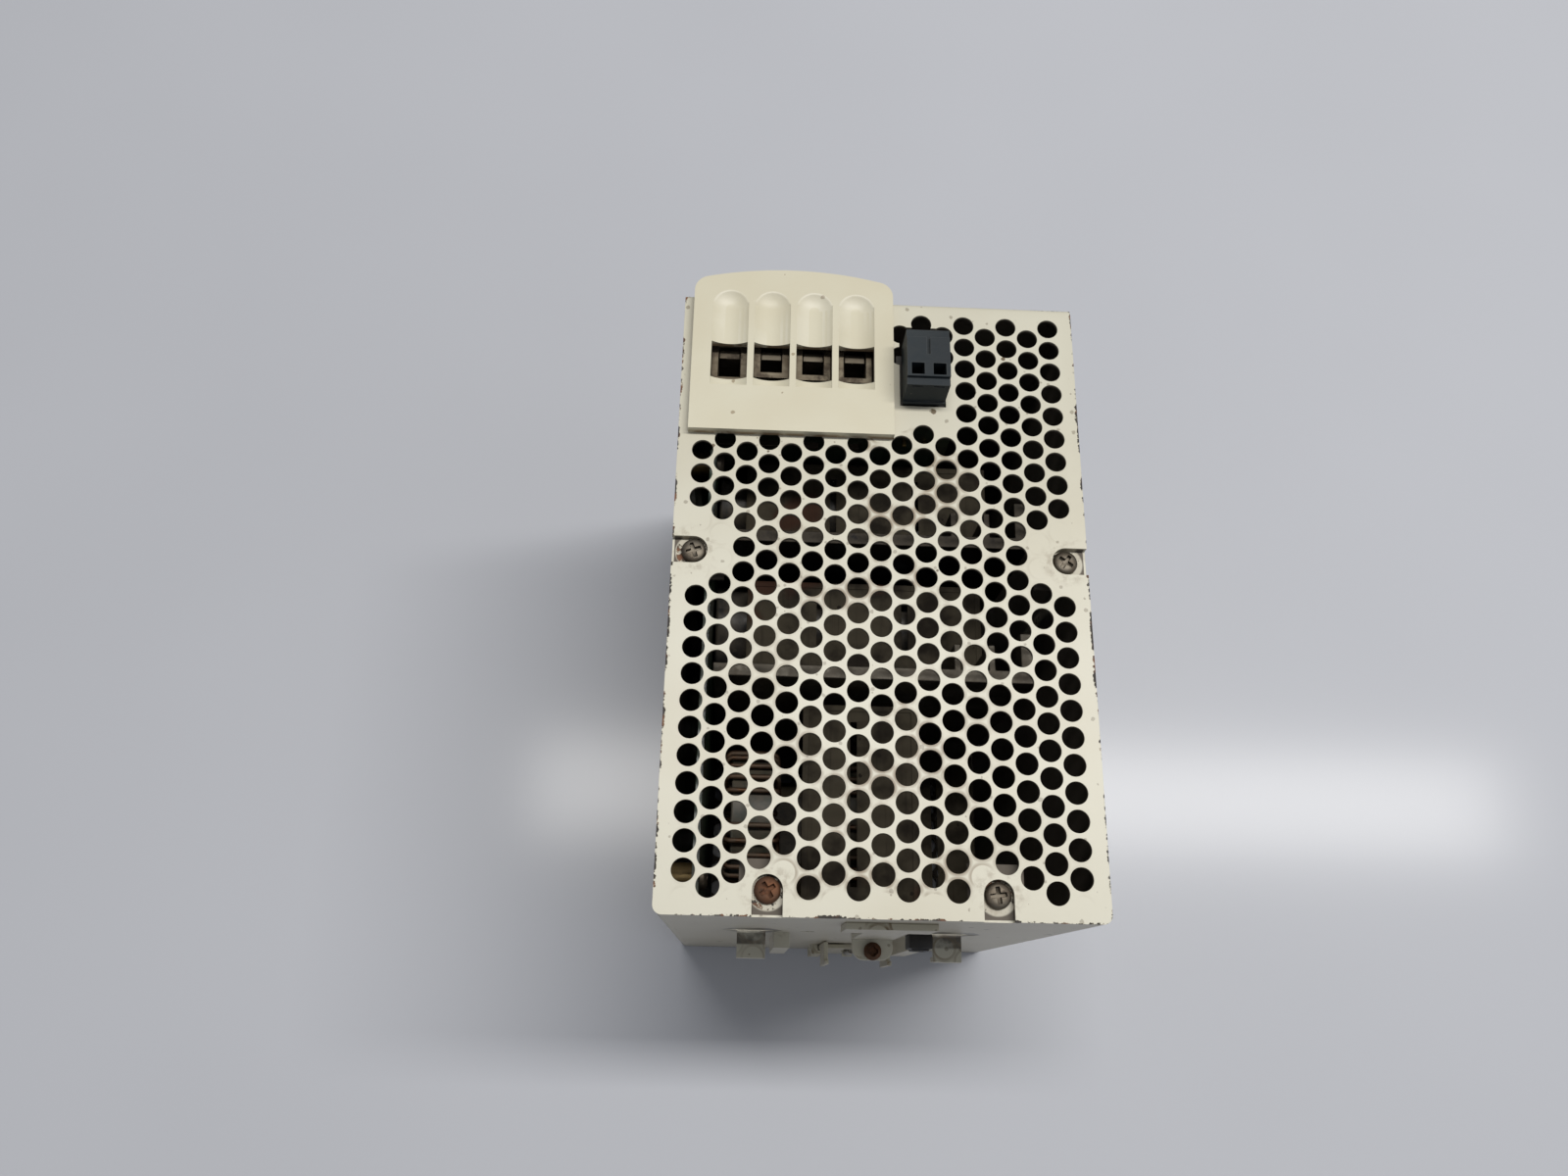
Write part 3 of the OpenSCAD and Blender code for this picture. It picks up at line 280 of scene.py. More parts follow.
def makeChips():  # finish knocked off where the level of the mask is high
    group, given, out = newGroup("chips", [("Vector", "vector", None), ("Scale", "float", 700.0),
                                 ("Near", "float", 0.0), ("Amount", "float", 0.3)], [("Mask", "float")])
    broken = noise(group, given["Vector"], given["Scale"], 5, 0.7)
    where = noise(group, given["Vector"], times(group, given["Scale"], 0.16), 2)
    level = calc(group, "ADD", times(group, broken, 0.55), times(group, where, 0.45))
    start = calc(group, "SUBTRACT", 0.80, times(group, given["Near"], given["Amount"]))
    feed(group, out["Mask"], step(group, level, start, calc(group, "ADD", start, 0.025)))
    return group


def makeGrain():  # fine bumps of moulded plastic or powder coat
    group, given, out = newGroup("grain", [("Vector", "vector", None), ("Scale", "float", 900.0)],
                                 [("Height", "float")])
    fine = noise(group, given["Vector"], given["Scale"], 2)
    broad = noise(group, given["Vector"], times(group, given["Scale"], 0.22), 2)
    feed(group, out["Height"], calc(group, "ADD", times(group, fine, 0.7), times(group, broad, 0.3)))
    return group


def makeBrushing():  # streaks drawn out along one axis
    group, given, out = newGroup("brushing", [("Vector", "vector", None), ("Scale", "float", 700.0),
                                 ("Along", "vector", (0.05, 1.0, 1.0))], [("Value", "float")])
    stretched = addNode(group, "ShaderNodeVectorMath", operation="MULTIPLY")
    feed(group, stretched.inputs[0], given["Vector"])
    feed(group, stretched.inputs[1], given["Along"])
    feed(group, out["Value"], noise(group, stretched.outputs[0], given["Scale"], 4, 0.6))
    return group


effects = {"specks": makeSpecks(), "grime": makeGrime(), "caseDepth": makeCaseDepth(), "holeRing": makeHoleRing(),
           "chips": makeChips(), "settled": makeSettled(), "grain": makeGrain(), "brushing": makeBrushing()}


def startMaterial(name):
    material = bpy.data.materials.new(name)
    material.use_nodes = True
    tree = material.node_tree
    shader = tree.nodes["Principled BSDF"]
    place = addNode(tree, "ShaderNodeTexCoord").outputs["Object"]
    return material, tree, shader, place


def addBump(tree, shader, height, depth, strength=1.0):
    bump = addNode(tree, "ShaderNodeBump")
    bump.inputs["Strength"].default_value = strength
    bump.inputs["Distance"].default_value = depth
    feed(tree, bump.inputs["Height"], height)
    feed(tree, shader.inputs["Normal"], bump.outputs["Normal"])
    return bump


paintValues = {  # cream powder coat outside; inside, dusty zinc darkened as painted shade
    "clean": (0.575, 0.55, 0.445), "aged": (0.525, 0.49, 0.38), "film": (0.21, 0.155, 0.09),
    "bare": (0.030, 0.024, 0.019), "rust": (0.17, 0.075, 0.035), "inner": (0.075, 0.062, 0.048),
    "specks": 0.20, "chips": 0.31, "grime": 0.30, "gloss": 0.38, "wallShadeAndDirt": 0.30, "shadeAndStain": (0.030, 0.018, 0.012),
    # where the dirt, the painted shade inside and the chips lie, mm
    "rim": (2.3, 2.5, 2.6, 3.4), "middle": (8, 34), "rows": (-42, -37), "border": (3, 5),
    "inside": (0.40, 0.56), "seatFloor": (0.25, 1.3), "corner": 1.5,
}


hookValues = {"places": (-21.5, 26.5), "half": 3.5, "point": 4.0, "low": 84, "high": 105,  # mm
              "root": 3.4, "dark": 0.8}


def hookShadeAndStain(tree, place, split, v):  # painted shade above the rail hooks and on the hooks' roots, with some brown stain
    middle, half = (v["low"] + v["high"]) / 2 * mm, (v["high"] - v["low"]) / 2 * mm
    tall = calc(tree, "DIVIDE", calc(tree, "ABSOLUTE", calc(tree, "SUBTRACT", split.outputs["Z"], middle)), half)
    reach = calc(tree, "ADD", v["half"] * mm, times(tree, invert(tree, tall), v["point"] * mm))
    mask = None
    for x in v["places"]:
        off = calc(tree, "ABSOLUTE", calc(tree, "SUBTRACT", split.outputs["X"], x * mm))
        one = invert(tree, step(tree, calc(tree, "SUBTRACT", off, reach), -0.5 * mm, 0.4 * mm))
        mask = one if mask is None else calc(tree, "MAXIMUM", mask, one)
    mask = times(tree, mask, invert(tree, step(tree, tall, 0.70, 1.02)))
    outside = step(tree, split.outputs["Y"], caseHigh.y - 0.1 * mm, caseHigh.y - 0.02 * mm)
    rootEnd = caseHigh.y + v["root"] * mm
    root = invert(tree, step(tree, split.outputs["Y"], rootEnd - 0.6 * mm, rootEnd))
    worn = times(tree, step(tree, noise(tree, place, 160.0, 4), 0.32, 0.56), v["dark"])
    return times(tree, mask, outside, root, worn)


seatValues = {"side": -6.5, "rear": 24, "head": 5.6, "dirt": 3.9, "reach": 7.0}  # the sunk screw seats, mm


def seatStain(tree, place, v):  # how near a point is to a screw seat, 1 at the seat, the same on both ends
    split = addNode(tree, "ShaderNodeSeparateXYZ")
    feed(tree, split.inputs[0], place)
    across = calc(tree, "ABSOLUTE", split.outputs["X"])
    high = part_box("grille_screws")[1]
    spots = [(high[0] - v["head"] / 2 * mm, v["side"] * mm), (v["rear"] * mm, high[1] - v["head"] / 2 * mm)]
    nearest = None
    for x, y in spots:
        dx = calc(tree, "SUBTRACT", across, x)
        dy = calc(tree, "SUBTRACT", split.outputs["Y"], y)
        away = calc(tree, "SQRT", calc(tree, "ADD", times(tree, dx, dx), times(tree, dy, dy)))
        nearest = away if nearest is None else calc(tree, "MINIMUM", nearest, away)
    close = invert(tree, step(tree, nearest, v["dirt"] * mm, v["reach"] * mm))
    seat = invert(tree, step(tree, nearest, v["dirt"] * mm, (v["dirt"] + 0.5) * mm))
    return close, seat


def makeCreamPaint(v):
    material, tree, shader, place = startMaterial("cream_paint")
    colour = tint(tree, step(tree, noise(tree, place, 22.0, 3), 0.35, 0.75), v["clean"], v["aged"])
    close, seat = seatStain(tree, place, seatValues)
    depth = use(tree, effects["caseDepth"], "Depth", Vector=place)
    edge = use(tree, effects["caseDepth"], "Edge", Vector=place)
    ring = use(tree, effects["holeRing"], Vector=place)
    film = use(tree, effects["grime"], Vector=place, Scale=26.0, Amount=v["grime"])
    colour = tint(tree, times(tree, film, 0.22), colour, v["film"])
    # brown dirt that lies round the vent holes, most of it in the middle of the sheet
    split = addNode(tree, "ShaderNodeSeparateXYZ")
    feed(tree, split.inputs[0], place)
    central = invert(tree, band(tree, calc(tree, "ABSOLUTE", split.outputs["X"]), v["middle"]))
    # upright faces are darkened with the film colour: painted shade on the walls, with some dirt
    wall = invert(tree, step(tree, calc(tree, "ABSOLUTE", facingUp(tree)), 0.4, 0.8))
    colour = tint(tree, times(tree, wall, v["wallShadeAndDirt"]), colour, v["film"])
    # dark marks above the rail hooks and on their roots: painted shade, with some stain
    colour = tint(tree, hookShadeAndStain(tree, place, split, hookValues), colour, v["shadeAndStain"])
    rim = times(tree, invert(tree, band(tree, ring, v["rim"][2:])), band(tree, ring, v["rim"][:2]))
    patch = step(tree, noise(tree, place, 75.0, 4, 0.6), 0.47, 0.62)
    flat = times(tree, invert(tree, wall), invert(tree, close))
    flat = times(tree, flat, band(tree, edge, v["border"]))  # only where the sheet has its holes
    flat = times(tree, flat, band(tree, split.outputs["Y"], v["rows"]))
    dirty = times(tree, rim, flat, patch, calc(tree, "ADD", times(tree, central, 0.85), 0.15))
    stain = times(tree, close, step(tree, noise(tree, place, 330.0, 5, 0.7), 0.46, 0.68))
    colour = tint(tree, calc(tree, "MAXIMUM", dirty, times(tree, stain, 0.5)), colour, v["film"])
    sunk = times(tree, seat, band(tree, depth, v["seatFloor"]))  # dirt gathers on the seat floors
    colour = tint(tree, times(tree, sunk, 0.30), colour, v["film"])
    specks = use(tree, effects["specks"], Vector=place, Scale=560.0, Cover=v["specks"], Size=0.34)
    fleck = use(tree, effects["specks"], Vector=place, Scale=230.0, Cover=0.05, Size=0.20)
    colour = tint(tree, calc(tree, "MAXIMUM", times(tree, specks, 0.5), fleck), colour, v["film"], "MULTIPLY")
    near = invert(tree, step(tree, edge, 0.0, v["corner"] * mm))
    chips = use(tree, effects["chips"], Vector=place, Scale=650.0, Near=near, Amount=v["chips"])
    seatChips = use(tree, effects["chips"], Vector=place, Scale=900.0, Near=sunk, Amount=0.285)
    bare = calc(tree, "MAXIMUM", chips, seatChips)
    rusty = tint(tree, step(tree, noise(tree, place, 300.0, 3), 0.50, 0.62), v["bare"], v["rust"])
    colour = tint(tree, bare, colour, rusty)
    # the inner faces are painted near black: painted shade inside the case, over dusty zinc
    inner = calc(tree, "MULTIPLY", band(tree, depth, v["inside"]), invert(tree, seat), True)
    dusty = tint(tree, noise(tree, place, 150.0, 4), v["inner"], tuple(c * 1.8 for c in v["inner"]))
    colour = tint(tree, inner, colour, dusty)
    feed(tree, shader.inputs["Base Color"], colour)
    dull = calc(tree, "MAXIMUM", calc(tree, "MAXIMUM", film, bare), inner)
    feed(tree, shader.inputs["Roughness"], calc(tree, "ADD", v["gloss"], times(tree, dull, 0.35)))
    grain = use(tree, effects["grain"], Vector=place, Scale=650.0)
    height = calc(tree, "SUBTRACT", times(tree, grain, 0.25), calc(tree, "ADD", bare, times(tree, fleck, -0.4)))
    addBump(tree, shader, height, 0.06 * mm, 0.7)
    return material


dustColour = (0.105, 0.085, 0.06)
rubColour = (0.9, 0.88, 0.82)
seamColour = (0.20, 0.12, 0.055)
plasticValues = {
    "cream_plastic": {"clean": (0.605, 0.57, 0.44), "aged": (0.575, 0.53, 0.395), "film": (0.24, 0.175, 0.095),
                      "specks": 0.06, "grime": 0.14, "gloss": 0.42, "grain": 0.05, "rub": 0.14, "dust": 0},
    "black_plastic": {"clean": (0.016, 0.016, 0.017), "aged": (0.026, 0.025, 0.023), "film": (0.085, 0.075, 0.06),
                      "specks": 0.12, "grime": 0.40, "gloss": 0.50, "grain": 0.12, "rub": 0.05, "dust": 0.15},
    "plug_plastic": {"clean": (0.013, 0.019, 0.024), "aged": (0.021, 0.029, 0.034), "film": (0.08, 0.08, 0.072),
                     "specks": 0.08, "grime": 0.20, "gloss": 0.58, "grain": 0.10, "rub": 0.07, "dust": 0.05},
    "blue_plastic": {"clean": (0.015, 0.03, 0.08), "aged": (0.02, 0.035, 0.085), "film": (0.09, 0.08, 0.065),
                     "specks": 0.1, "grime": 0.5, "gloss": 0.4, "grain": 0.03, "rub": 0.05, "dust": 0.8},
    "white_plastic": {"clean": (0.70, 0.69, 0.64), "aged": (0.64, 0.62, 0.55), "film": (0.30, 0.26, 0.20),
                      "specks": 0.05, "grime": 0.25, "gloss": 0.35, "grain": 0.05, "rub": 0.1, "dust": 0.3},
    "capacitor_sleeve": {"clean": (0.010, 0.011, 0.015), "aged": (0.016, 0.017, 0.022),
                         "film": (0.085, 0.072, 0.055), "specks": 0.15, "grime": 0.55, "gloss": 0.35,
                         "grain": 0.03, "rub": 0.04, "dust": 0.75},
    "ferrite": {"clean": (0.030, 0.029, 0.028), "aged": (0.044, 0.041, 0.037), "film": (0.11, 0.095, 0.075),
                "specks": 0.2, "grime": 0.6, "gloss": 0.6, "grain": 0.2, "rub": 0.05, "dust": 0.85},
    "choke_core": {"clean": (0.035, 0.045, 0.035), "aged": (0.045, 0.055, 0.043), "film": (0.11, 0.095, 0.075),
                   "specks": 0.1, "grime": 0.6, "gloss": 0.45, "grain": 0.08, "rub": 0.05, "dust": 0.8},
    "winding_tape": {"clean": (0.15, 0.115, 0.06), "aged": (0.13, 0.10, 0.055), "film": (0.11, 0.095, 0.075),
                     "specks": 0.1, "grime": 0.6, "gloss": 0.35, "grain": 0.03, "rub": 0.05, "dust": 0.85},
    "clear_sheet": {"clean": (0.17, 0.155, 0.12), "aged": (0.15, 0.135, 0.10), "film": (0.10, 0.085, 0.065),
                    "specks": 0.1, "grime": 0.5, "gloss": 0.3, "grain": 0.02, "rub": 0.0, "dust": 0.5},
    "label": {"clean": (0.60, 0.61, 0.61), "aged": (0.56, 0.56, 0.53), "film": (0.32, 0.30, 0.26),
              "specks": 0.06, "grime": 0.3, "gloss": 0.32, "grain": 0.04, "rub": 0.1, "dust": 0},
}


def makePlastic(name, v):
    material, tree, shader, place = startMaterial(name)
    colour = tint(tree, step(tree, noise(tree, place, 30.0, 3), 0.35, 0.7), v["clean"], v["aged"])
    film = use(tree, effects["grime"], Vector=place, Scale=40.0, Amount=v["grime"])
    colour = tint(tree, times(tree, film, 0.4), colour, v["film"])
    specks = use(tree, effects["specks"], Vector=place, Scale=430.0, Cover=v["specks"], Size=0.3)
    colour = tint(tree, times(tree, specks, 0.7), colour, v["film"])
    edge = addNode(tree, "ShaderNodeAttribute", attribute_name="edge").outputs["Fac"]
    rubbed = times(tree, edge, step(tree, noise(tree, place, 90.0, 4), 0.3, 0.65), v["rub"])
    if name == "cream_plastic":  # a brown line along the rear edge, where the cover meets the sheet
        depth = use(tree, effects["caseDepth"], "Depth", Vector=place)
        upright = calc(tree, "LESS_THAN", calc(tree, "ABSOLUTE", facingUp(tree)), 0.5)
        broken = step(tree, noise(tree, place, 240.0, 4), 0.30, 0.50)
        low = times(tree, upright, band(tree, depth, (-1.7, -0.7)), broken)
        colour = tint(tree, times(tree, low, 0.85), colour, seamColour)
    if v["dust"] > 0:
        settled = use(tree, effects["settled"], Vector=place)
        colour = tint(tree, times(tree, settled, v["dust"]), colour, dustColour)
    colour = tint(tree, rubbed, colour, rubColour)
    feed(tree, shader.inputs["Base Color"], colour)
    feed(tree, shader.inputs["Roughness"], calc(tree, "ADD", v["gloss"], times(tree, film, 0.25)))
    shader.inputs["Specular IOR Level"].default_value = 0.22 if name == "plug_plastic" else 0.42
    grain = use(tree, effects["grain"], Vector=place, Scale=1100.0)
    addBump(tree, shader, calc(tree, "ADD", grain, times(tree, specks, 0.4)), v["grain"] * mm, 0.6)
    return material


anodisedBlack = (0.012, 0.012, 0.013)
metalValues = {
    "screw_steel": {"clean": (0.17, 0.15, 0.12), "worn": (0.10, 0.082, 0.062), "stain": (0.075, 0.052, 0.034),
                    "gloss": 0.50, "stains": 0.65, "dust": 0.15},
    "rusty_steel": {"clean": (0.15, 0.085, 0.055), "worn": (0.17, 0.08, 0.045), "stain": (0.065, 0.035, 0.022),
                    "gloss": 0.68, "stains": 0.7, "dust": 0},
    "cage_steel": {"clean": (0.17, 0.145, 0.105), "worn": (0.09, 0.072, 0.05), "stain": (0.06, 0.04, 0.024),
                   "gloss": 0.46, "stains": 0.6, "dust": 0.15},
    "tinned_copper": {"clean": (0.12, 0.105, 0.08), "worn": (0.075, 0.062, 0.046), "stain": (0.05, 0.036, 0.022),
                      "gloss": 0.50, "stains": 0.6, "dust": 0.1},
    "gold_pins": {"clean": (0.55, 0.40, 0.16), "worn": (0.42, 0.30, 0.13), "stain": (0.2, 0.13, 0.07),
                  "gloss": 0.3, "stains": 0.3, "dust": 0},
    "brass_posts": {"clean": (0.40, 0.28, 0.12), "worn": (0.28, 0.20, 0.09), "stain": (0.12, 0.08, 0.05),
                    "gloss": 0.4, "stains": 0.4, "dust": 0.2},
    "aluminium": {"clean": (0.14, 0.13, 0.11), "worn": (0.09, 0.082, 0.068), "stain": (0.085, 0.072, 0.055),
                  "gloss": 0.5, "stains": 0.55, "dust": 0.55},
    "spring_steel": {"clean": (0.42, 0.41, 0.38), "worn": (0.26, 0.24, 0.21), "stain": (0.15, 0.09, 0.05),
                     "gloss": 0.32, "stains": 0.35, "dust": 0},
    "copper": {"clean": (0.14, 0.062, 0.028), "worn": (0.10, 0.045, 0.022), "stain": (0.08, 0.06, 0.042),
               "gloss": 0.4, "stains": 0.6, "dust": 0.7},
}


def makeMetal(name, v):
    material, tree, shader, place = startMaterial(name)
    streaks = use(tree, effects["brushing"], Vector=place, Scale=900.0)
    dull = calc(tree, "ADD", times(tree, streaks, 0.4), times(tree, noise(tree, place, 160.0, 4), 0.6))
    colour = tint(tree, step(tree, dull, 0.38, 0.62), v["clean"], v["worn"])
    stains = use(tree, effects["grime"], Vector=place, Scale=180.0, Amount=v["stains"])
    colour = tint(tree, stains, colour, v["stain"])
    if name == "aluminium":  # the front plate is anodised black
        split = addNode(tree, "ShaderNodeSeparateXYZ")
        feed(tree, split.inputs[0], place)
        rear = step(tree, split.outputs["Y"], 0.0, 1 * mm)
        colour = tint(tree, rear, anodisedBlack, colour)
    if v["dust"] > 0:
        settled = times(tree, use(tree, effects["settled"], Vector=place), v["dust"])
        colour = tint(tree, settled, colour, dustColour)
        stains = calc(tree, "MAXIMUM", stains, settled)
    feed(tree, shader.inputs["Base Color"], colour)
    feed(tree, shader.inputs["Metallic"], invert(tree, times(tree, stains, 0.8)))
    feed(tree, shader.inputs["Roughness"], calc(tree, "ADD", v["gloss"], times(tree, stains, 0.35)))
    addBump(tree, shader, calc(tree, "ADD", times(tree, streaks, 0.5), stains), 0.03 * mm, 0.7)
    return material


boardValues = {"mask": (0.012, 0.022, 0.013), "track": (0.02, 0.036, 0.02), "film": (0.085, 0.075, 0.055)}


def makeBoardLacquer(v):
    material, tree, shader, place = startMaterial("board")
    cells = addNode(tree, "ShaderNodeTexVoronoi", distance="CHEBYCHEV")
    feed(tree, cells.inputs["Vector"], place)
    cells.inputs["Scale"].default_value = 170.0
    tracks = step(tree, cells.outputs["Distance"], 0.33, 0.36)
    colour = tint(tree, tracks, v["track"], v["mask"])
    film = use(tree, effects["grime"], Vector=place, Scale=60.0, Amount=0.5)
    colour = tint(tree, times(tree, film, 0.5), colour, v["film"])
    feed(tree, shader.inputs["Base Color"], colour)
    feed(tree, shader.inputs["Roughness"], calc(tree, "ADD", 0.3, times(tree, film, 0.4)))
    addBump(tree, shader, tracks, 0.03 * mm, 0.5)
    return material


lensValues = {"green_lens": (0.03, 0.42, 0.10), "red_lens": (0.55, 0.03, 0.02)}


def makeLens(name, colour):
    material, tree, shader, place = startMaterial(name)
    dusty = use(tree, effects["grime"], Vector=place, Scale=160.0, Amount=0.3)
    feed(tree, shader.inputs["Base Color"], tint(tree, times(tree, dusty, 0.4), colour, (0.4, 0.38, 0.34)))
    feed(tree, shader.inputs["Roughness"], calc(tree, "ADD", 0.12, times(tree, dusty, 0.4)))
    shader.inputs["Transmission Weight"].default_value = 0.4
    shader.inputs["IOR"].default_value = 1.5
    return material


fibreValues = {"pale": (0.060, 0.050, 0.034), "dark": (0.018, 0.014, 0.010), "brown": (0.050, 0.024, 0.015)}


def makeFibre(v):
    material, tree, shader, place = startMaterial("guard_fibre")
    cloud = step(tree, noise(tree, place, 75.0, 4, 0.6), 0.36, 0.60)
    colour = tint(tree, cloud, v["dark"], v["pale"])
    colour = tint(tree, step(tree, noise(tree, place, 48.0, 2), 0.60, 0.68), colour, v["brown"])
    streak = use(tree, effects["brushing"], Vector=place, Scale=500.0, Along=(1.0, 0.06, 1.0))
    colour = tint(tree, times(tree, step(tree, streak, 0.55, 0.7), 0.4), colour, v["dark"])
    specks = use(tree, effects["specks"], Vector=place, Scale=420.0, Cover=0.15, Size=0.3)
    feed(tree, shader.inputs["Base Color"], tint(tree, specks, colour, v["dark"]))
    shader.inputs["Roughness"].default_value = 0.8
    shader.inputs["Specular IOR Level"].default_value = 0.15
    addBump(tree, shader, calc(tree, "ADD", streak, specks), 0.05 * mm, 0.6)
    return material


floorLook = {"colour": (0.50, 0.51, 0.545), "cloudy": 0.96, "gloss": 0.15, "shine": 0.13}


def coatFloor(floor, v):
    material, tree, shader, place = startMaterial("floor_finish")
    cloud = noise(tree, place, 3.0, 3)
    darker = tuple(c * v["cloudy"] for c in v["colour"])
    feed(tree, shader.inputs["Base Color"], tint(tree, step(tree, cloud, 0.3, 0.7), v["colour"], darker))
    shader.inputs["Roughness"].default_value = v["gloss"]
    shader.inputs["Specular IOR Level"].default_value = v["shine"]
    floor.data.materials.append(material)


def makeMaterials():
    made = {"cream_paint": makeCreamPaint(paintValues), "board": makeBoardLacquer(boardValues),
            "guard_fibre": makeFibre(fibreValues)}
    for name, v in plasticValues.items():
        made[name] = makePlastic(name, v)
    for name, v in metalValues.items():
        made[name] = makeMetal(name, v)
    for name, colour in lensValues.items():
        made[name] = makeLens(name, colour)
    return made


def pick(obj):
    bpy.ops.object.select_all(action="DESELECT")
    obj.select_set(True)
    bpy.context.view_layer.objects.active = obj


def applyModifier(obj, kind, **settings):
    pick(obj)
    modifier = obj.modifiers.new(kind.lower(), kind)
    for key, value in settings.items():
        setattr(modifier, key, value)
    bpy.ops.object.modifier_apply(modifier=modifier.name)


def finishPiece(obj, slot, body, material=None):
    obj.data.materials.clear()
    obj.data.materials.append(materials[material or slot])
    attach(obj, body)
    return obj


def markEdges(obj, wide):  # edge = 1 on narrow tilted faces, which are the broken edges
    mesh = obj.data
    marks = []
    for face in mesh.polygons:
        sides = [(mesh.vertices[a].co - mesh.vertices[b].co).length for a, b in face.edge_keys]
        broken = max(abs(c) for c in face.normal) < 0.985 and min(sides) < wide
        marks += [1.0 if broken else 0.0] * face.loop_total
    mesh.attributes.new("edge", "FLOAT", "CORNER").data.foreach_set("value", marks)


def softened(node, piece, width, segments=2, angle=35):  # a copy of the CAD node with its edges broken
    source = nodes[node]
    obj = bpy.data.objects.new(piece, source.data.copy())
    scene.collection.objects.link(obj)
    pick(obj)
    bpy.ops.mesh.customdata_custom_splitnormals_clear()
    bpy.ops.object.mode_set(mode="EDIT")
    bpy.ops.mesh.select_all(action="SELECT")
    bpy.ops.mesh.remove_doubles(threshold=0.004 * mm)
    if node in ("top_grille", "bottom_grille"):  # hundreds of holes: joining all flat faces is slow here
        bpy.ops.mesh.tris_convert_to_quads(face_threshold=math.radians(1), shape_threshold=math.radians(180))
    else:
        bpy.ops.mesh.dissolve_limited(angle_limit=math.radians(1.5))
    bpy.ops.object.mode_set(mode="OBJECT")
    applyModifier(obj, "BEVEL", width=width * mm, segments=segments, limit_method="ANGLE",
                  angle_limit=math.radians(angle), use_clamp_overlap=True, miter_outer="MITER_SHARP")
    markEdges(obj, width * mm * 1.2)
    pick(obj)
    bpy.ops.object.shade_smooth_by_angle(angle=math.radians(30 if segments == 1 else 50))
    if segments > 1:  # the flat faces stay flat beside their rounded edges
        applyModifier(obj, "WEIGHTED_NORMAL", mode="FACE_AREA", weight=80, keep_sharp=True)
    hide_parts(node)
    return finishPiece(obj, slotOf[node], bodyOf[node])


softValues = {  # CAD node: (name of the finished piece, width of its broken edges in mm, segments)
    "top_grille": ("top_sheet", 0.17, 1), "bottom_grille": ("bottom_sheet", 0.17, 1),
    "chassis": ("folded_chassis", 0.22, 2), "front_panel": ("front_sheet", 0.2, 1),
    "output_terminal_cover": ("output_cover_moulding", 0.45, 3),
    "input_terminal_cover": ("input_cover_moulding", 0.45, 3),
    "front_fascia": ("fascia_moulding", 0.3, 2), "settings_flap": ("flap_moulding", 0.25, 2),
    "relay_plug": ("plug_moulding", 0.22, 2), "relay_header": ("header_moulding", 0.2, 2),
    "output_terminal_block": ("output_block_moulding", 0.3, 2),
    "input_terminal_block": ("input_block_moulding", 0.3, 2),
    "output_contact_bars": ("output_bars", 0.25, 2), "input_contact_bars": ("input_bars", 0.25, 2),
    "rail_bracket": ("bracket_plate", 0.2, 2), "din_latch": ("latch_plate", 0.2, 2),
    "clamp_screw": ("bracket_screw", 0.12, 2), "heatsinks": ("heatsink_plates", 0.3, 2),
    "power_transistors": ("transistor_packs", 0.3, 2), "transformer_core": ("ferrite_core", 0.5, 2),
    "trimmer_body": ("trimmer_case", 0.3, 2), "voltage_trimmer": ("trimmer_rotor", 0.2, 2),
    "selector_body": ("switch_case", 0.3, 2), "mode_selector": ("switch_lever", 0.3, 2),
    "main_board": ("main_board_sheet", 0.15, 1), "front_board": ("front_board_sheet", 0.15, 1),
    "signal_board": ("signal_board_sheet", 0.15, 1), "choke_cores": ("choke_rings", 0.6, 2),
    "bulk_capacitors": ("bulk_cans", 0.9, 3), "output_capacitors": ("output_cans", 0.7, 3),
    "transformer_winding": ("taped_winding", 0.7, 2), "insulation_sheet": ("insulation_film", 0.06, 1),
    "board_posts": ("board_pillars", 0.15, 1), "board_screws": ("board_screw_heads", 0.12, 1),
    "relay_pins": ("header_pins", 0.1, 1), "front_label": ("front_sticker", 0.04, 1),
    "rating_label": ("side_sticker", 0.04, 1), "ready_light_pipe": ("ready_light_lens", 0.25, 2),
    "overload_light_pipe": ("overload_light_lens", 0.25, 2),
}


def makeSoftened():
    for node, (piece, width, segments) in softValues.items():
        softened(node, piece, width, segments)
    for end in ("output", "input"):
        for n in range(1, 5):
            softened(f"{end}_cage_{n}", f"{end}_cage_{n}_body", 0.25)
            softened(f"{end}_screw_{n}", f"{end}_screw_{n}_body", 0.15)
    for n in (1, 2):
        softened(f"plug_screw_{n}", f"plug_screw_{n}_body", 0.12)
    print("softened pieces:", len(softValues) + 18)


def startPiece(name, adder, **settings):  # a primitive alone in the selection, its place in its mesh
    bpy.ops.object.select_all(action="DESELECT")
    adder(**settings)
    obj = bpy.context.active_object
    obj.name = name
    bpy.ops.object.transform_apply(location=True, rotation=True, scale=True)
    return obj


def chooseFaces(obj, wanted):  # in edit mode, selects the faces that the test accepts
    bpy.ops.mesh.select_all(action="DESELECT")
    bpy.ops.object.mode_set(mode="OBJECT")
    for face in obj.data.polygons:
        face.select = wanted(face)
    bpy.ops.object.mode_set(mode="EDIT")
    bpy.ops.mesh.select_mode(type="FACE")


def joinPieces(name, parts):
    bpy.ops.object.select_all(action="DESELECT")
    for part in parts:
        part.select_set(True)
    bpy.context.view_layer.objects.active = parts[0]
    bpy.ops.object.join()
    parts[0].name = name
    return parts[0]


def copyPiece(obj, name, matrix):
    made = bpy.data.objects.new(name, obj.data.copy())
    made.data.transform(matrix)
    scene.collection.objects.link(made)
    return made


def softenPiece(obj, width, segments=2, angle=30):
    applyModifier(obj, "BEVEL", width=width * mm, segments=segments, limit_method="ANGLE",
                  angle_limit=math.radians(angle), use_clamp_overlap=True)
    markEdges(obj, width * mm * 1.2)
    pick(obj)
    bpy.ops.object.shade_smooth_by_angle(angle=math.radians(45))


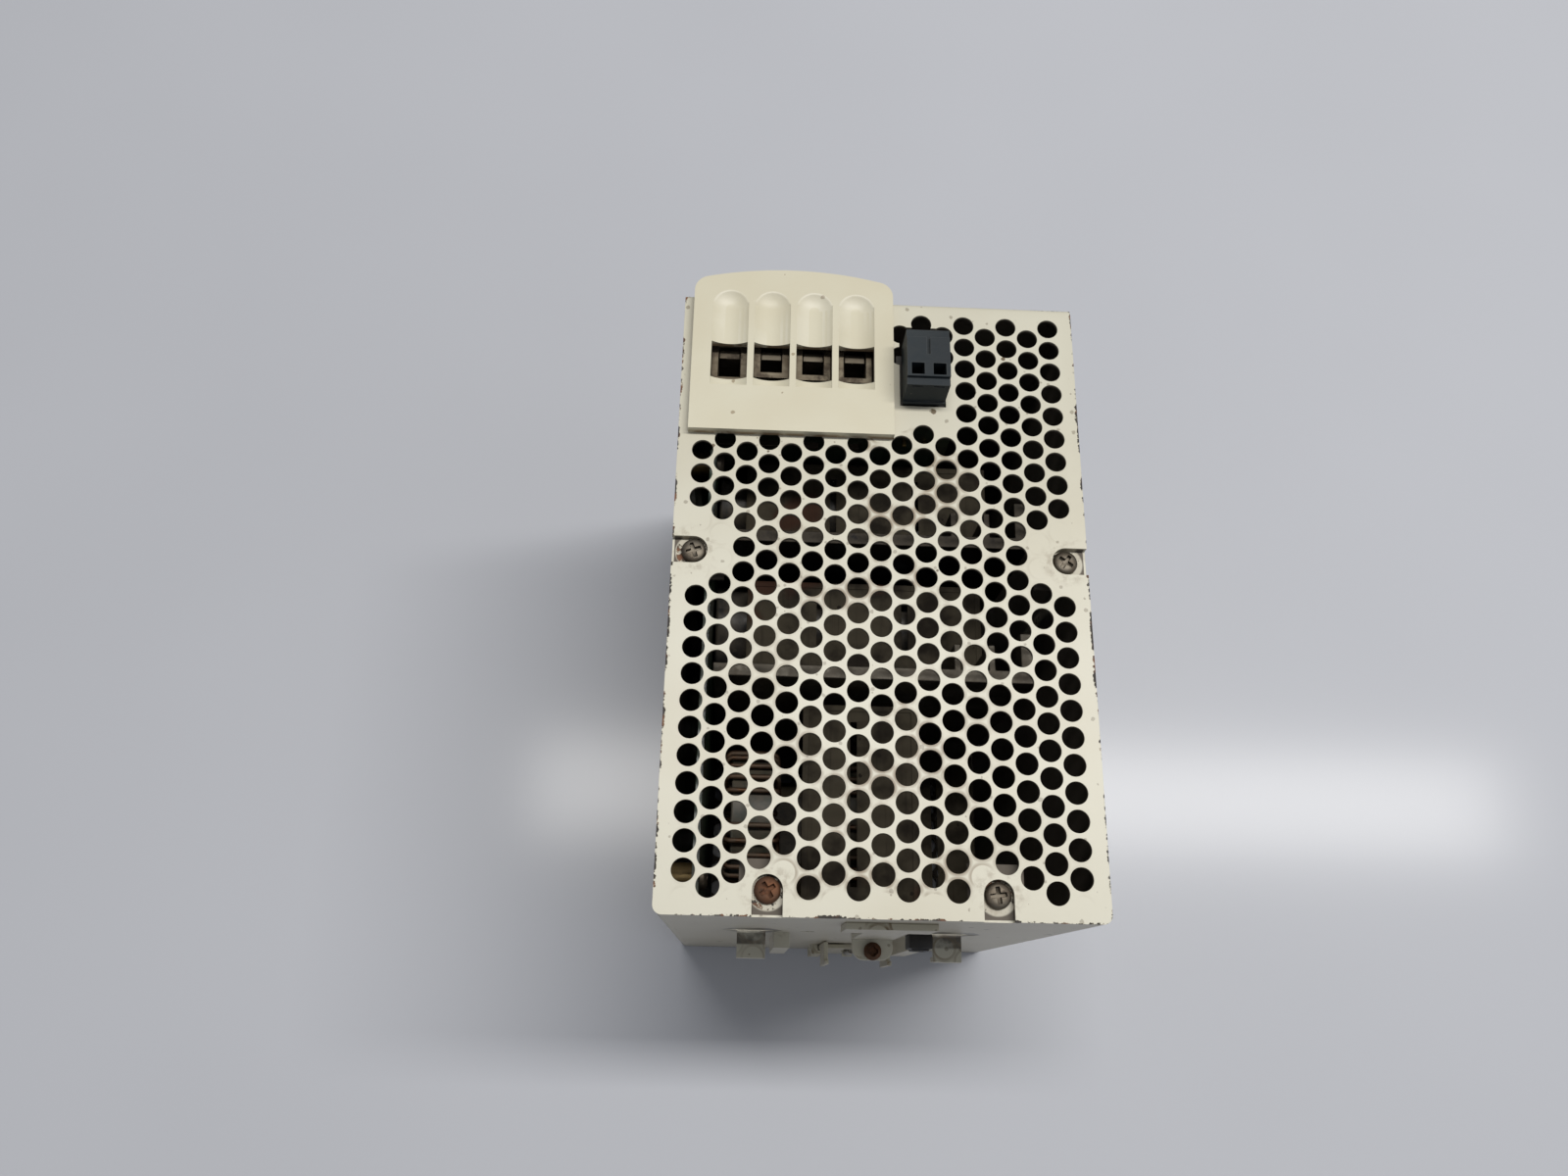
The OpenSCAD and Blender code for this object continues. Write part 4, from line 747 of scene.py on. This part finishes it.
caseScrewValues = {"head": 5.6, "high": 1.6, "side": 0.75, "shank": 2.9, "long": 6.0,
                   "dome": [(0.40, 0.93), (0.28, 0.84), (0.15, 0.66)],  # steps up, each with its shrink
                   "cross": 3.5, "blade": 0.85, "deep": 1.0,
                   "spots": [(1, 0, 20), (-1, 0, 55), (1, 1, 32), (-1, 1, 8)]}  # side, rear or not, turn


def makeCaseScrews(v):
    screw = startPiece("case_screw", bpy.ops.mesh.primitive_cylinder_add, vertices=36, radius=v["head"] / 2 * mm,
                       depth=v["side"] * mm, location=(0, 0, v["side"] / 2 * mm))
    bpy.ops.object.mode_set(mode="EDIT")
    chooseFaces(screw, lambda face: face.normal.z > 0.9)
    for rise, shrink in v["dome"]:
        bpy.ops.mesh.extrude_region_move(TRANSFORM_OT_translate={"value": (0, 0, rise * mm)})
        bpy.ops.transform.resize(value=(shrink, shrink, 1))
    chooseFaces(screw, lambda face: face.normal.z < -0.9)
    bpy.ops.mesh.inset(thickness=(v["head"] - v["shank"]) / 2 * mm)
    bpy.ops.mesh.extrude_region_move(TRANSFORM_OT_translate={"value": (0, 0, -v["long"] * mm)})
    bpy.ops.object.mode_set(mode="OBJECT")
    top = v["side"] + sum(rise for rise, shrink in v["dome"])
    for wide, deep in ((v["cross"], v["blade"]), (v["blade"], v["cross"])):  # the cross recess
        cutter = startPiece("recess_cutter", bpy.ops.mesh.primitive_cube_add, size=1, location=(0, 0, top * mm),
                            scale=(wide * mm, deep * mm, 2 * v["deep"] * mm))
        applyModifier(screw, "BOOLEAN", operation="DIFFERENCE", object=cutter, solver="EXACT")
        bpy.data.objects.remove(cutter)
    softenPiece(screw, 0.07, 1)
    low, high = (Vector(c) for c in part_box("grille_screws"))
    groups = {"case_screws": [], "rusted_case_screw": []}
    for end in (1, -1):
        for side, rear, turn in v["spots"]:
            x = side * (seatValues["rear"] * mm if rear else high.x - v["head"] / 2 * mm)
            y = high.y - v["head"] / 2 * mm if rear else seatValues["side"] * mm
            z = high.z - v["high"] * mm if end > 0 else low.z + v["high"] * mm
            matrix = Matrix.Translation((x, y, z)) @ Matrix.Rotation(0 if end > 0 else math.pi, 4, "X")
            matrix = matrix @ Matrix.Rotation(math.radians(turn), 4, "Z")
            group = "rusted_case_screw" if end > 0 and rear and side > 0 else "case_screws"
            groups[group].append(copyPiece(screw, "screw_copy", matrix))
    bpy.data.objects.remove(screw)
    for name, parts in groups.items():
        obj = joinPieces(name, parts) if len(parts) > 1 else parts[0]
        obj.name = name
        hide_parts("grille_screws")
        slot = "rusty_steel" if name == "rusted_case_screw" else slotOf["grille_screws"]
        finishPiece(obj, slot, bodyOf["grille_screws"])
    print("case screws: 8")


chokeValues = {"wire": 1.25, "radial": 4.4, "along": 6.4, "corner": 1.6, "ring": 11.5, "turns": 12, "spread": 150}


def makeChokeWire(v):  # one rounded turn is copied round each ring
    turn = startPiece("turn", bpy.ops.mesh.primitive_plane_add, size=2 * v["radial"] * mm,
                      rotation=(math.pi / 2, 0, 0), location=(0, 0, v["ring"] * mm))
    bpy.ops.object.mode_set(mode="EDIT")
    bpy.ops.mesh.select_all(action="SELECT")
    bpy.ops.transform.resize(value=(v["along"] / v["radial"], 1, 1))
    bpy.ops.mesh.bevel(offset=v["corner"] * mm, segments=4, affect="VERTICES")
    bpy.ops.mesh.select_all(action="SELECT")
    bpy.ops.mesh.delete(type="ONLY_FACE")
    bpy.ops.object.mode_set(mode="OBJECT")
    bpy.ops.object.convert(target="CURVE")
    turn = bpy.context.active_object
    turn.data.bevel_depth = v["wire"] / 2 * mm
    turn.data.bevel_resolution = 2
    bpy.ops.object.convert(target="MESH")
    turn = bpy.context.active_object
    low, high = (Vector(c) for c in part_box("choke_windings"))
    middle = (low + high) / 2
    parts = []
    for x in (high.x - 7 * mm, low.x + 7 * mm):
        for half in (0, 180):
            for i in range(v["turns"]):
                angle = half + (180 - v["spread"]) / 2 + v["spread"] * i / (v["turns"] - 1)
                matrix = Matrix.Translation((x, middle.y, middle.z)) @ Matrix.Rotation(math.radians(angle), 4, "X")
                parts.append(copyPiece(turn, "turn_copy", matrix))
    bpy.data.objects.remove(turn)
    wire = joinPieces("choke_wire", parts)
    pick(wire)
    bpy.ops.object.shade_smooth()
    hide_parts("choke_windings")
    finishPiece(wire, slotOf["choke_windings"], bodyOf["choke_windings"])
    print("choke turns:", 4 * v["turns"])


springValues = {"wire": 0.42, "turns": 9}


def makeLatchSpring(v):
    low, high = (Vector(c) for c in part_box("latch_spring"))
    radius = (high.x - low.x) / 2 - v["wire"] / 2 * mm
    length = high.z - low.z - v["wire"] * mm
    coil = startPiece("latch_coil", bpy.ops.mesh.primitive_circle_add, vertices=10, radius=v["wire"] / 2 * mm,
                      location=(radius, 0, 0), rotation=(math.pi / 2, 0, 0))
    applyModifier(coil, "SCREW", axis="Z", angle=2 * math.pi, screw_offset=length / v["turns"],
                  iterations=v["turns"], steps=18, render_steps=18)
    bpy.ops.object.mode_set(mode="EDIT")
    bpy.ops.mesh.select_all(action="SELECT")
    bpy.ops.mesh.fill_holes(sides=12)
    bpy.ops.mesh.normals_make_consistent(inside=False)
    bpy.ops.object.mode_set(mode="OBJECT")
    middle = (low + high) / 2
    coil.data.transform(Matrix.Translation((middle.x, middle.y, low.z + v["wire"] / 2 * mm)))
    bpy.ops.object.shade_smooth()
    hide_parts("latch_spring")
    finishPiece(coil, slotOf["latch_spring"], bodyOf["latch_spring"])
    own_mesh(coil)
    print("latch spring turns:", v["turns"])


hookBlockValues = {"place": (-14.6, 90), "size": (5.6, 3.4, 7.5), "lip": 0.7,  # x and z on the back wall, mm
                "raise": 0.5, "sink": 0.6}


def makeHookBlock(v):  # dark block on the back wall beside a hook
    wide, deep, high = v["size"]
    x, z = v["place"]
    darkBlock = startPiece("hook_block", bpy.ops.mesh.primitive_cube_add, size=1,
                        scale=(wide * mm, deep * mm, high * mm),
                        location=(x * mm, caseHigh.y + deep / 2 * mm, z * mm))
    bpy.ops.object.mode_set(mode="EDIT")
    chooseFaces(darkBlock, lambda face: face.normal.y > 0.9)
    bpy.ops.mesh.inset(thickness=v["lip"] * mm)
    bpy.ops.mesh.extrude_region_move(TRANSFORM_OT_translate={"value": (0, v["raise"] * mm, 0)})
    bpy.ops.mesh.inset(thickness=v["lip"] * mm)
    bpy.ops.mesh.extrude_region_move(TRANSFORM_OT_translate={"value": (0, -v["sink"] * mm, 0)})
    bpy.ops.object.mode_set(mode="OBJECT")
    softenPiece(darkBlock, 0.2, 2)
    finishPiece(darkBlock, "black_plastic", "case")
    print("rail buffer fitted")


guardValues = {"thick": 0.8, "lip": 1.4, "sink": 0.3, "slot": 1.6, "slotEnd": 4, "sheets": [
    ((-30, 31), (-41, -18), 114.6, (-12, 9)),  # x and y spans, height, and the x of each slot, mm
    ((-28, 30), (-9, 13), 113.4, (-9, 12)),
    ((-11, 16), (23, 69), 117.0, (4,)),
    ((-35, -13), (23, 69), 60.0, (-24,))]}


def makeGuardSheets(v):  # dusty fibre sheets over the parts, seen through the vent holes
    for i, (spanX, spanY, z, slots) in enumerate(v["sheets"]):
        wide, deep = spanX[1] - spanX[0], spanY[1] - spanY[0]
        middle = (sum(spanX) / 2 * mm, sum(spanY) / 2 * mm, z * mm)
        sheet = startPiece(f"guard_sheet_{i + 1}", bpy.ops.mesh.primitive_cube_add, size=1, location=middle,
                           scale=(wide * mm, deep * mm, v["thick"] * mm))
        bpy.ops.object.mode_set(mode="EDIT")
        chooseFaces(sheet, lambda face: face.normal.z > 0.9)
        bpy.ops.mesh.inset(thickness=v["lip"] * mm)
        bpy.ops.mesh.extrude_region_move(TRANSFORM_OT_translate={"value": (0, 0, -v["sink"] * mm)})
        bpy.ops.object.mode_set(mode="OBJECT")
        for x in slots:
            cutter = startPiece("slot_cutter", bpy.ops.mesh.primitive_cube_add, size=1,
                                location=(x * mm, middle[1], z * mm),
                                scale=(v["slot"] * mm, (deep - 2 * v["slotEnd"]) * mm, 5 * v["thick"] * mm))
            applyModifier(sheet, "BOOLEAN", operation="DIFFERENCE", object=cutter, solver="EXACT")
            bpy.data.objects.remove(cutter)
        softenPiece(sheet, 0.12, 1)
        finishPiece(sheet, "clear_sheet", "case", "guard_fibre")
    print("guard sheets:", len(v["sheets"]))


def coatPlainNodes():
    for name, obj in nodes.items():
        obj.data.materials.clear()
        obj.data.materials.append(materials[slotOf[name]])


makeCamera(cameraValues)
floor = makeFloor(floorValues)
makeLights(lightValues, worldValues)
print("stage set")
coatFloor(floor, floorLook)
materials = makeMaterials()
print("materials:", len(materials))
coatPlainNodes()
makeSoftened()
makeCaseScrews(caseScrewValues)
makeChokeWire(chokeValues)
makeLatchSpring(springValues)
makeHookBlock(hookBlockValues)
makeGuardSheets(guardValues)
